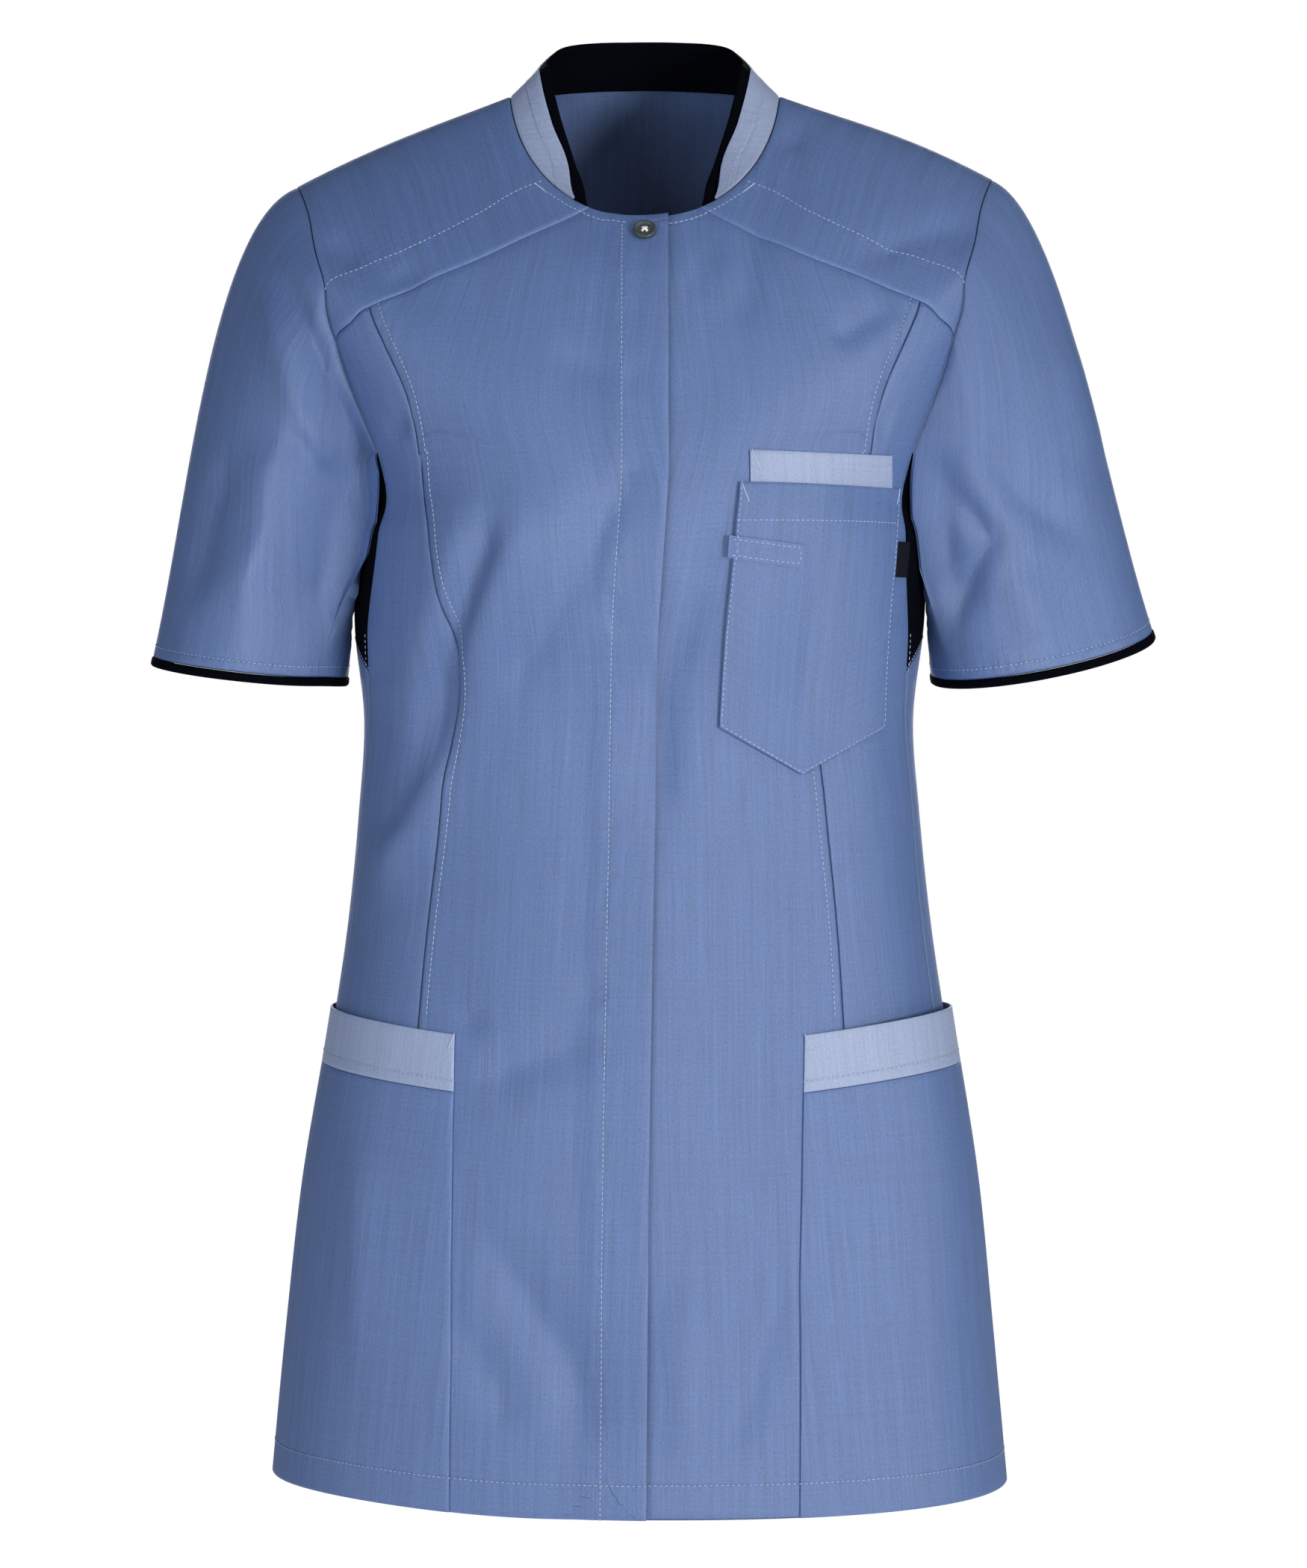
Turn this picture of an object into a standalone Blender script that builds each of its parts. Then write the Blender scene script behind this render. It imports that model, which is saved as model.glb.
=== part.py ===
"""A women's short-sleeved work tunic, filled out as if worn, with nobody in it.

The trunk is one smooth surface, worked out from a table of rings. Every cut piece is a patch of that surface
between its seam lines, given a wall. Pockets are the same surface moved out, and the sleeves and the collar
grow from the armholes and the neckline, so that all the pieces meet edge to edge.

X runs to the wearer's left, which a viewer in front sees on the right. The front faces -Y, and Z is up.
The origin is between the shoulders' neck points, where the wearer holds the garment up.
Tables and functions are in millimetres, and add_piece turns them into metres.
"""

import math
from collections import namedtuple

import bmesh
import bpy
import numpy as np
from mathutils import Vector
from mathutils.geometry import delaunay_2d_cdt

MM = 0.001

# Cloth and gaps
WALL = 1.5  # body cloth with its seam turnings
TRIM_WALL = 1.2  # pockets, bands, loop, collar
SEAM = 0.3  # each piece's edge is drawn back by this
LIE = 1.3  # a pocket lies this far off its panel

# The trunk's rings, from the hem to the neckline. front, side and back are the heights there, width is half
# the width, chest and spine are the depths before and behind the middle, square is the superellipse's power,
# and twist (degrees) and shift are how the worn garment hangs.
Ring = namedtuple("Ring", "front side back width chest spine square twist shift")
RINGS = [
    Ring(-773, -765, -769, 202.5, 128, 123, 2.30, -3.8, -3.0),  # hem
    Ring(-684, -680, -682, 194.5, 126, 121, 2.30, -3.6, -3.0),
    Ring(-602, -600, -601, 185.0, 122, 118, 2.30, -3.4, -3.0),  # hip
    Ring(-526, -525, -525, 172.0, 117, 112, 2.30, -3.0, -3.0),
    Ring(-455, -455, -455, 161.5, 111, 102, 2.30, -2.5, -3.0),
    Ring(-395, -395, -395, 155.5, 107, 96, 2.30, -1.9, -3.2),
    Ring(-345, -345, -345, 152.3, 110, 94, 2.30, -1.4, -3.4),  # waist
    Ring(-290, -290, -290, 158.0, 125, 98, 2.30, -0.8, -3.0),
    Ring(-245, -245, -245, 158.0, 133, 103, 2.30, -0.3, -1.2),  # bust
    Ring(-215, -215, -215, 156.5, 132, 105, 2.30, 0.0, 0.0),  # underarm
    Ring(-176, -62, -150, 205.0, 124.5, 105, 2.20, 0.0, 0.0),
    Ring(-135, -49, -72, 193.0, 112, 99, 2.05, 0.0, 0.0),  # shoulder tips
    Ring(-100, -23, -22, 138.0, 96, 84, 2.05, 0.0, 0.0),
    Ring(-72, 1.5, 14, 75.0, 75, 60, 2.20, 0.0, 0.0),  # neckline
]
RIDGE = 0.2  # how round the shoulder's ridge is, as a share of the depth
# The left shoulder's tip is this much higher than the right one's, and the hem's right side than its left.
# Each lift sets in at a place across and up, over a run.
SHOULDER_LIFT, SHOULDER_LIFT_X, SHOULDER_LIFT_Z, SHOULDER_RUN = 4.0, 60, -210, (110, 120)
HEM_LIFT, HEM_LIFT_X, HEM_LIFT_Z, HEM_RUN = 5.0, -40, -600, (150, 160)
HEM, UNDERARM, SHOULDER, NECK = (RINGS[i].front for i in (0, 9, 11, 13))

# Seam lines on one half, as (x, height) seen from the front
PRINCESS_LOW = [(137, -773), (128, -640), (118, -545), (111, -457)]
PRINCESS = PRINCESS_LOW + [(103, -385), (96, -318), (105, -275), (119.5, -207)]
PRINCESS_TOP = [(119.5, -207), (131, -163), (149, -122)]
YOKE_SEAM = [(62, -82.5), (92, -97), (116, -107), (135, -116), (149, -122)]
YOKE_END = [(149, -122), (159, -130), (167.5, -139)]
ARMHOLE_FRONT = [(145, -200), (152, -183), (160, -163), (167.5, -139)]
ARMHOLE_TOP_FRONT = [(167.5, -139), (174, -108), (183, -74)]
ARMHOLE_BACK = [(190, -58), (181, -90), (173, -125), (164, -160), (154, -188), (146, -203)]
# Seams of the side panel, as (turn from the centre front in degrees, height)
SIDE_SEAM = [(71, -773), (74, -602), (75, -455), (74, -345), (71, -318), (63.5, -260), (62, -207)]

YOKE_AT_NECK = 30  # x where the front yoke seam meets the neckline
YOKE_BACK_TURN = 113  # turn where the yoke's back seam meets the neckline
GUSSET_FOOT = -318  # height of the gusset's lower corners
GUSSET_ARCH = 18  # rise of its lower edge between them

# The fly: the right front laps over the left by this much on each side of the centre
FLY_HALF = 12.7
FLY_COLUMNS = [-FLY_HALF, 0, 14, 24]  # distance from the centre, away from the free edge
FLY_LIFT = WALL + 0.6

# Lower pockets
POCKET_INNER = 94
POCKET_COLUMNS = 10
POCKET_ROWS = 7
GAPE_FOOT, GAPE_RISE = -720, 190
BAND_TOP_INNER, BAND_TOP_SIDE = -515, -502
BAND_HEIGHT = 31
BAND_GAPE = {"right": 2.5, "left": 8.0}  # how far the mouth stands off at the side
GAPE_REACH, GAPE_POWER = 1.05, 1.5  # the mouth's bow, from one upright edge to the other
BACK_EDGE_INSET = 1.0  # the pocket ends this many degrees before the back seam

# The chest pocket and what is on it, on the left front: x at the inner and outer side, at the top and at the
# foot, heights, how far the foot's middle hangs lower (tip), how far the outer side is lower (slope), and its
# layer
Patch = namedtuple("Patch", "name top_x foot_x top foot tip slope layer rows columns finish")
PATCHES = [
    Patch("chest_pocket_inner", (55, 132), (55, 132), -202, -231.5, 0, 0, 1, 4, 14, "pale_poplin"),
    Patch("chest_pocket", (49.6, 135.8), (45.9, 134.6), -219.5, -349.5, -25.5, 0, 2, 8, 12, "blue_poplin"),
    Patch("pen_loop", (45.6, 83.4), (45.6, 83.4), -247, -258.5, 0, 4.5, 3, 1, 6, "blue_poplin"),
    Patch("pocket_tab", (135.6, 142.6), (135.4, 142.3), -248.5, -267.8, 0, 0, 2, 2, 1, "navy_knit"),
]
LAYER_GAP = 0.4

BUTTON_Z = -82.5
BUTTON_RADIUS = 6.35
BUTTON_THICKNESS = 2.6
BUTTON_HOLE = 0.9  # radius
BUTTON_HOLE_AT = 1.6  # each hole's middle is this far across and this far up from the button's
BUTTON_SIDES, HOLE_SIDES = 24, 8
# How the edge is rounded, from the back to the front: share of the thickness and share of the radius
BUTTON_EDGE = [(0.0, 0.66), (0.0, 1.0), (0.6, 1.0), (1.0, 0.86), (1.0, 0.74), (0.66, 0.66)]

# The collar: turn from the centre back, heights of the pale band and of the navy lining along the cloth, lean
# from upright towards the neck, and the gap to the neckline. The band ends before the lining does.
CollarRow = namedtuple("CollarRow", "turn band lining lean foot")
COLLAR = [
    CollarRow(0, 25.5, 26.5, 2, 0.4),
    CollarRow(40, 24.5, 26.0, 18, 0.4),
    CollarRow(65, 23.0, 26.5, 36, 0.4),
    CollarRow(90, 21.5, 27.0, 46, 0.4),
    CollarRow(118, 22.0, 29.0, 50, 0.5),
    CollarRow(138, 17.0, 23.5, 56, 0.8),
    CollarRow(150.5, 1.8, 14.0, 60, 1.1),
    CollarRow(157, -4.0, 2.0, 62, 1.3),
]
BAND_END, LINING_END = 150.5, 157
COLLAR_GAP = 0.9  # between the band and its lining
COLLAR_MIDDLE_Y = -4
COLLAR_COLUMNS, COLLAR_ROWS = 24, 3

# The sleeves. The hem is an ellipse with its middle at x, z, leaning down towards the body by tilt.
# Its front hangs lower by drop. flare is how far the outer line still spreads at the hem, and out how far the
# shoulder carries on past its tip.
Sleeve = namedtuple("Sleeve", "side hem_x hem_z half_width half_depth tilt drop flare out")
SLEEVES = {
    "right": Sleeve(-1, -218.5, -314.5, 54.0, 63.0, 6.0, 5, 0.22, 142),
    "left": Sleeve(1, 220.0, -306.5, 61.5, 55.5, 12.5, 11, 0.31, 118),
}
SLEEVE_ROWS = 10
SLEEVE_MIDDLE_Y = -4
SLEEVE_START = 1.0  # gap between the armhole's edge and the sleeve, sideways
# Up to CLEAR_ABOVE over the underarm, the sleeve keeps clear of the trunk by a gap that grows over some rows
SLEEVE_BODY_GAP, CLEAR_ABOVE, GAP_ROWS = 3.0, 12, 4
# How far the sleeve's line keeps the direction in which it leaves the armhole
LEAVE_UNDER = 16
LEAVE_DOWN = (52, 95)
UNDER_FLARE = 0.09
TUCK, TUCK_PEAK = 14.0, 0.65  # how far the front of the underarm wraps towards the body
LEAVE_FRONT, LEAVE_BACK = 20, 10
BINDING = 5.0
BINDING_WALL = 2.4

# Soft creases, as seen from the front: places (x, height), half width and depth out of the cloth. Each fades
# over CREASE_FADE of its length at both ends.
CREASE_FADE = 0.3
Crease = namedtuple("Crease", "places width depth")
CREASES = [
    Crease([(-78, -228), (-80, -253), (-95, -298), (-105, -340), (-114, -377)], 12, -9.0),
    Crease([(-96, -232), (-99, -262), (-112, -300), (-122, -340)], 12, 3.0),
    Crease([(-5, -214), (-11, -230), (-33, -279), (-55, -317), (-66, -338)], 14, -5.0),
    Crease([(46, -265), (26, -305), (16, -331), (16, -375), (16, -405)], 12, -5.5),
    Crease([(-100, -358), (-123, -400), (-144, -443)], 13, 5.5),
    Crease([(-93, -543), (-55, -528), (-17, -514)], 14, -4.0),
    Crease([(-82, -614), (-29, -688), (-16, -733)], 18, -5.5),
    Crease([(86, -598), (78, -664), (62, -717), (38, -745)], 17, -6.5),
    Crease([(34, -640), (34, -700), (30, -773)], 18, 4.5),
]
BACK_CREASES = [
    Crease([(30, -300), (62, -352), (108, -392)], 15, -7.0),
    Crease([(-24, -330), (-60, -372), (-112, -420)], 16, -7.0),
    Crease([(70, -560), (58, -660), (64, -790)], 24, -8.0),
    Crease([(-74, -540), (-66, -650), (-80, -790)], 24, -7.0),
    Crease([(-4, -600), (0, -690), (-8, -790)], 22, 6.0),
]
SLEEVE_CREASES = [
    Crease([(-206, -98), (-190, -120), (-177, -147), (-166, -172)], 12, -6.0),
    Crease([(-194, -187), (-203, -211), (-204, -240), (-216, -269), (-222, -299)], 14, 5.0),
    Crease([(-227, -197), (-239, -240), (-251, -289)], 13, -5.0),
    Crease([(176, -232), (187, -248), (178, -264), (172, -281), (167, -301)], 11, -6.0),
    Crease([(178, -182), (203, -215), (244, -250)], 13, -4.0),
]
# The fullness over the bust: x, height, half width, half height, depth
BUST = (74, -248, 52, 62, 8.0)

# How many strips each seam is cut into
ROWS_BELOW, ROWS_GUSSET, ROWS_ARMHOLE = 14, 6, 5
COLUMNS_YOKE, COLUMNS_YOKE_END, COLUMNS_SIDE, COLUMNS_NECK_BACK = 7, 4, 4, 6
ROWS_YOKE, ROWS_ARMHOLE_BACK = 7, 6
RELAX_ROUNDS = 60

# Finishes: colour, roughness and metallic
FINISHES = {
    "blue_poplin": ((0.105, 0.175, 0.375), 0.82, 0.0),
    "pale_poplin": ((0.300, 0.370, 0.590), 0.82, 0.0),
    "navy_knit": ((0.004, 0.005, 0.012), 0.90, 0.0),
    "button": ((0.045, 0.055, 0.058), 0.40, 0.0),
}


def clear_scene():
    for thing in list(bpy.data.objects):
        bpy.data.objects.remove(thing)


def finish(name):
    """The named finish as a material, made once."""
    made = bpy.data.materials.get(name)
    if made is None:
        colour, roughness, metallic = FINISHES[name]
        made = bpy.data.materials.new(name)
        made.use_nodes = True
        shader = made.node_tree.nodes["Principled BSDF"]
        shader.inputs["Base Color"].default_value = (*colour, 1)
        shader.inputs["Roughness"].default_value = roughness
        shader.inputs["Metallic"].default_value = metallic
    return made


# Curves


def through(knots, values, at):
    """A smooth curve through the rows of values at the rising knots, read at the given places."""
    knots, values = np.asarray(knots, float), np.asarray(values, float)
    at = np.clip(np.asarray(at, float), knots[0], knots[-1])
    step = np.diff(knots)[:, None]
    slope = np.diff(values, axis=0) / step
    bend = (slope[:-1] * step[1:] + slope[1:] * step[:-1]) / (step[1:] + step[:-1])
    tangent = np.vstack([slope[:1], bend, slope[-1:]])
    i = np.clip(np.searchsorted(knots, at, "right") - 1, 0, len(knots) - 2)
    h = step[i]
    t = (at[:, None] - knots[i][:, None]) / h
    return (
        (2 * t**3 - 3 * t**2 + 1) * values[i]
        + (t**3 - 2 * t**2 + t) * h * tangent[i]
        + (3 * t**2 - 2 * t**3) * values[i + 1]
        + (t**3 - t**2) * h * tangent[i + 1]
    )


def smooth(t):
    """0 to 1 with level ends."""
    t = np.clip(t, 0, 1)
    return t * t * (3 - 2 * t)


# The trunk


def ring_at(up):
    """The ring whose centre front is at the height up; each field is an array."""
    table = [ring[1:] for ring in RINGS]
    rows = through([ring.front for ring in RINGS], table, np.ravel(up))
    columns = [column.reshape(np.shape(up)) for column in rows.T]
    return Ring(np.asarray(up, float), *columns)


def straight(turn, up):
    """Points of the trunk before it is creased and hung. turn is in degrees from the centre front."""
    ring = ring_at(up)
    angle = np.radians(turn)
    power = 2 / ring.square
    share = np.abs(np.cos(angle)) ** power
    before = np.cos(angle) > 0
    x = ring.width * np.sign(np.sin(angle)) * np.abs(np.sin(angle)) ** power
    y = np.where(before, -ring.chest, ring.spine) * share
    drop = (np.hypot(share, RIDGE) - RIDGE) / (math.hypot(1, RIDGE) - RIDGE)
    z = ring.side + (np.where(before, ring.front, ring.back) - ring.side) * drop
    return np.stack([x, y, z], -1)


def straight_normal(turn, up):
    """Which way the trunk's outer face looks."""
    across = straight(turn + 0.1, up) - straight(turn - 0.1, up)
    along = straight(turn, up + 0.1) - straight(turn, up - 0.1)
    normal = np.cross(across, along)
    return normal / np.linalg.norm(normal, axis=-1, keepdims=True)


def crease_depth(x, z, creases):
    """How far out of the cloth the creases push the points at x, z."""
    total = np.zeros(np.shape(x))
    for crease in creases:
        places = np.array(crease.places, float)
        nearest = np.full(np.shape(x), 1e9)
        along = np.zeros(np.shape(x))
        last = len(places) - 1
        for k in range(last):
            run = places[k + 1] - places[k]
            share = ((x - places[k][0]) * run[0] + (z - places[k][1]) * run[1]) / run.dot(run)
            share = np.clip(share, 0, 1)
            gap = np.hypot(x - places[k][0] - share * run[0], z - places[k][1] - share * run[1])
            along = np.where(gap < nearest, (k + share) / last, along)
            nearest = np.minimum(nearest, gap)
        fade = smooth(along / CREASE_FADE) * smooth((1 - along) / CREASE_FADE)
        total += crease.depth * fade * np.exp(-((nearest / crease.width) ** 2))
    return total


def trunk(turn, up, out=0.0):
    """Points of the worn trunk, moved out of its outer face by out."""
    turn, up = np.asarray(turn, float), np.asarray(up, float)
    point = straight(turn, up)
    x, y, z = point[..., 0], point[..., 1], point[..., 2]
    before = smooth((-y - 10) / 30)
    behind = smooth((y - 10) / 30)
    bust_x, bust_z, bust_wide, bust_high, bust_deep = BUST
    bust = bust_deep * np.exp(-(((np.abs(x) - bust_x) / bust_wide) ** 2) - ((z - bust_z) / bust_high) ** 2)
    push = before * (crease_depth(x, z, CREASES) + bust) + behind * crease_depth(x, z, BACK_CREASES)
    point = point + straight_normal(turn, up) * (push + out)[..., None]
    ring = ring_at(up)
    twist = np.radians(ring.twist)
    x, y, z = point[..., 0], point[..., 1], point[..., 2]
    run_x, run_z = SHOULDER_RUN
    z = z + SHOULDER_LIFT * smooth((x - SHOULDER_LIFT_X) / run_x) * smooth((z - SHOULDER_LIFT_Z) / run_z)
    run_x, run_z = HEM_RUN
    z = z + HEM_LIFT * smooth((HEM_LIFT_X - x) / run_x) * smooth((HEM_LIFT_Z - z) / run_z)
    across = x * np.cos(twist) - y * np.sin(twist) + ring.shift
    along = x * np.sin(twist) + y * np.cos(twist)
    return np.stack([across, along, z], -1)


def turn_of_x(x, up):
    """The turn where the ring at up is x wide of the middle."""
    ring = ring_at(up)
    return math.degrees(math.asin(min(1.0, abs(x) / float(ring.width)) ** (float(ring.square) / 2)))


def seen_at(x, z, behind=False):
    """(turn, up) of the trunk's point at x and height z, seen from the front or from behind."""
    low, high = HEM, NECK
    for _ in range(40):
        up = (low + high) / 2
        turn = turn_of_x(x, up)
        turn = 180 - turn if behind else turn
        if straight(turn, up)[2] < z:
            low = up
        else:
            high = up
    return turn, up


def line(places, count):
    """count + 1 (turn, up) places, evenly spaced along a smooth line through the given ones."""
    places = np.array(places, float)
    points = straight(places[:, 0], places[:, 1])
    run = np.concatenate([[0], np.cumsum(np.linalg.norm(np.diff(points, axis=0), axis=1))])
    return through(run, places, np.linspace(0, run[-1], count + 1))


def front_line(table, count):
    return line([seen_at(x, z) for x, z in table], count)


def back_line(table, count):
    return line([seen_at(x, z, behind=True) for x, z in table], count)


def joined(*chains):
    """Chains that follow each other, with each shared end kept once."""
    return np.vstack([chains[0]] + [chain[1:] for chain in chains[1:]])


def patch(left, right, bottom, top):
    """A grid of (turn, up) between four edges. Left and right run upwards, the others left to right."""
    s = np.linspace(0, 1, len(bottom))[None, :, None]
    t = np.linspace(0, 1, len(left))[:, None, None]
    sides = (1 - s) * left[:, None] + s * right[:, None]
    ends = (1 - t) * bottom[None] + t * top[None]
    corners = (1 - t) * ((1 - s) * bottom[0] + s * bottom[-1]) + t * ((1 - s) * top[0] + s * top[-1])
    return sides + ends - corners


def relaxed(places, rounds):
    """The grid with its inner places evened out between their neighbours."""
    places = places.copy()
    for _ in range(rounds):
        beside = places[1:-1, :-2] + places[1:-1, 2:] + places[:-2, 1:-1] + places[2:, 1:-1]
        places[1:-1, 1:-1] = beside / 4
    return places


def mirrored(places):
    return places * np.array([-1.0, 1.0])


# Solids


def add_piece(name, vertices, faces, finish_name):
    """A closed solid from points in millimetres, with its faces turned outwards."""
    mesh = bpy.data.meshes.new(name)
    mesh.from_pydata([tuple(point * MM) for point in vertices], [], faces)
    shell = bmesh.new()
    shell.from_mesh(mesh)
    bmesh.ops.recalc_face_normals(shell, faces=shell.faces)
    shell.to_mesh(mesh)
    shell.free()
    mesh.shade_smooth()
    mesh.set_sharp_from_angle(angle=math.radians(40))
    mesh.materials.append(finish(finish_name))
    piece = bpy.data.objects.new(name, mesh)
    bpy.context.scene.collection.objects.link(piece)
    return piece


def drawn_back(grid, amount, ring=False):
    """The grid with its outer rows moved inwards, so that a gap stays at each seam."""
    grid = grid.copy()

    def pull(edge, inner):
        run = inner - edge
        edge += run / np.linalg.norm(run, axis=-1, keepdims=True) * amount

    pull(grid[0], grid[1])
    pull(grid[-1], grid[-2])
    if not ring:
        pull(grid[:, 0], grid[:, 1])
        pull(grid[:, -1], grid[:, -2])
    return grid


def add_shell(name, outer, inner, finish_name, ring=False):
    """A wall between two grids of points. With ring, each row closes on itself."""
    rows, columns = outer.shape[:2]
    count = rows * columns

    def corner(i, j, side):
        return side * count + i * columns + j % columns

    faces = []
    spans = columns if ring else columns - 1
    for i in range(rows - 1):
        for j in range(spans):
            quad = [(i, j), (i, j + 1), (i + 1, j + 1), (i + 1, j)]
            faces.append([corner(a, b, 0) for a, b in quad])
            faces.append([corner(a, b, 1) for a, b in reversed(quad)])
    rims = [[(i, j) for j in range(spans + 1)] for i in (0, rows - 1)]
    if not ring:
        rims += [[(i, j) for i in range(rows)] for j in (0, columns - 1)]
    for rim in rims:
        for (a, b), (c, d) in zip(rim, rim[1:]):
            faces.append([corner(a, b, 0), corner(c, d, 0), corner(c, d, 1), corner(a, b, 1)])
    vertices = np.vstack([outer.reshape(-1, 3), inner.reshape(-1, 3)])
    return add_piece(name, vertices, faces, finish_name)


def add_panel(name, places, finish_name, out=0.0, wall=WALL):
    """A cut piece of the trunk, or one that lies out from it, from its (turn, up) grid."""
    turn, up = places[..., 0], places[..., 1]
    outer, inner = (drawn_back(trunk(turn, up, out - depth + 0 * turn), SEAM) for depth in (0, wall))
    return add_shell(name, outer, inner, finish_name)


# The seams, once for the half on the wearer's left

HEIGHTS_BELOW = np.linspace(HEM, GUSSET_FOOT, ROWS_BELOW + 1)
HEIGHTS_GUSSET = np.linspace(GUSSET_FOOT, -207, ROWS_GUSSET + 1)
HEIGHTS = np.concatenate([HEIGHTS_BELOW, HEIGHTS_GUSSET[1:]])


def upright(table, heights):
    """A seam given as (x, height) rows, read at the heights."""
    x = through([z for _, z in table], [[x] for x, _ in table], heights)[:, 0]
    return np.array([(turn_of_x(a, z), z) for a, z in zip(x, heights)])


def make_seams():
    seams = {}
    tip = (90.0, SHOULDER)
    back_end = seen_at(*ARMHOLE_BACK[0], behind=True)
    side_turn = through([z for _, z in SIDE_SEAM], [[turn] for turn, _ in SIDE_SEAM], HEIGHTS)[:, 0]
    side = np.column_stack([side_turn, HEIGHTS])
    side[-1] = seen_at(*ARMHOLE_FRONT[0])
    side_back = side * [-1, 1] + [180, 0]
    side_back[-1] = seen_at(*ARMHOLE_BACK[-1], behind=True)
    seams["side"], seams["side_back"] = side, side_back
    seams["princess"] = joined(upright(PRINCESS, HEIGHTS), front_line(PRINCESS_TOP, ROWS_ARMHOLE))
    seams["armhole_front"] = front_line(ARMHOLE_FRONT, ROWS_ARMHOLE)
    over = [seen_at(x, z) for x, z in ARMHOLE_TOP_FRONT] + [tip, back_end]
    seams["armhole_top"] = line(over, ROWS_YOKE)
    seams["armhole_back"] = back_line(ARMHOLE_BACK, ROWS_ARMHOLE_BACK)
    under = [side_back[-1], (90.0, UNDERARM), side[-1]]
    seams["underarm"] = line(under, COLUMNS_SIDE)
    neck_start = (turn_of_x(YOKE_AT_NECK, NECK), NECK)
    seams["yoke_front"] = line([neck_start] + [seen_at(x, z) for x, z in YOKE_SEAM], COLUMNS_YOKE)
    seams["yoke_end"] = front_line(YOKE_END, COLUMNS_YOKE_END)
    neck_back = (YOKE_BACK_TURN, NECK)
    seams["yoke_back"] = line([neck_back, back_end], COLUMNS_YOKE + COLUMNS_YOKE_END)
    seams["neck_yoke"] = line([neck_start, (90, NECK), neck_back], ROWS_YOKE)
    return seams


def hem_between(left, right, count):
    return np.linspace(left[0], right[0], count + 1)


def fly_columns(side):
    """The columns of a front panel next to its free edge, each straight up from the hem to the neckline."""
    heights = np.concatenate([HEIGHTS, np.linspace(HEIGHTS[-1], NECK, ROWS_ARMHOLE + 1)[1:]])
    columns = []
    for away in FLY_COLUMNS:
        turns = [math.copysign(turn_of_x(away, z), away) if away else 0.0 for z in heights]
        columns.append(np.column_stack([turns, heights]))
    return np.stack(columns, 1)


def add_fronts(seams):
    fly = fly_columns(1)
    centre, princess = fly[:, -1], seams["princess"]
    neck_end = seams["yoke_front"][0]
    top = joined(np.array([centre[-1], neck_end]), seams["yoke_front"])
    main = patch(centre, princess, hem_between(centre, princess, len(top) - 1), top)
    places = np.concatenate([fly[:, :-1], main], 1)
    add_panel("left_front", places, "blue_poplin")
    lift = FLY_LIFT * (np.arange(places.shape[1]) < len(FLY_COLUMNS) - 1)
    add_panel("right_front", mirrored(places), "blue_poplin", lift)


def add_sides(seams):
    right_edge = joined(seams["side"], seams["armhole_front"])
    side_front = patch(
        seams["princess"],
        right_edge,
        hem_between(seams["princess"], right_edge, COLUMNS_YOKE_END),
        seams["yoke_end"],
    )
    low = ROWS_BELOW + 1
    foot = np.linspace(seams["side"][ROWS_BELOW], seams["side_back"][ROWS_BELOW], COLUMNS_SIDE + 1)
    foot[:, 1] += GUSSET_ARCH * np.sin(np.linspace(0, math.pi, COLUMNS_SIDE + 1))
    side, side_back = seams["side"], seams["side_back"]
    panel = patch(side[:low], side_back[:low], hem_between(side, side_back, COLUMNS_SIDE), foot)
    gusset = patch(side[low - 1 :], side_back[low - 1 :], foot, seams["underarm"][::-1])
    for name, turned in (("left", lambda grid: grid), ("right", mirrored)):
        add_panel(name + "_side_front", turned(side_front), "blue_poplin")
        add_panel(name + "_side_panel", turned(panel), "blue_poplin")
        add_panel(name + "_gusset", turned(gusset), "navy_knit")


def add_yokes(seams):
    front = joined(seams["yoke_front"], seams["yoke_end"])
    yoke = patch(seams["neck_yoke"], seams["armhole_top"], front, seams["yoke_back"])
    add_panel("left_yoke", yoke, "blue_poplin")
    add_panel("right_yoke", mirrored(yoke), "blue_poplin")


def add_back(seams):
    """The back runs from the left side seam, behind, to the right one."""
    left = joined(seams["side_back"], seams["armhole_back"][::-1])
    right = left * [-1, 1] + [360, 0]
    neck = np.array([[YOKE_BACK_TURN, NECK], [360 - YOKE_BACK_TURN, NECK]], float)
    neck = np.linspace(neck[0], neck[1], COLUMNS_NECK_BACK + 1)
    other = (seams["yoke_back"] * [-1, 1]) + [360, 0]
    top = joined(seams["yoke_back"][::-1], neck, other)
    places = patch(left, right, hem_between(left, right, len(top) - 1), top)
    add_panel("back", relaxed(places, RELAX_ROUNDS), "blue_poplin")


# The sleeves


def grid_normals(grid, ring=True):
    """Outward normals of a grid whose rows run down from the armhole and whose columns run round."""
    if ring:
        across = np.roll(grid, -1, 1) - np.roll(grid, 1, 1)
    else:
        across = np.gradient(grid, axis=1)
    along = np.gradient(grid, axis=0)
    normal = np.cross(along, across)
    return normal / np.linalg.norm(normal, axis=-1, keepdims=True)


def clear_of_trunk(grid, side):
    """Sleeve points moved outwards where they would touch the trunk's side."""
    grid = grid.copy()
    for i in range(1, len(grid)):
        gap = SLEEVE_BODY_GAP * smooth(i / GAP_ROWS)
        for j in range(grid.shape[1]):
            x, y, z = grid[i, j]
            if z > UNDERARM + CLEAR_ABOVE:
                continue
            ring = ring_at(min(z, UNDERARM))
            depth = float(ring.chest if y < 0 else ring.spine)
            share = min(abs(y) / depth, 1.0)
            reach = float(ring.width) * (1 - share ** float(ring.square)) ** (1 / float(ring.square))
            limit = reach + float(ring.shift) * side + gap
            grid[i, j, 0] = side * max(side * x, limit)
    return grid


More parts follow.
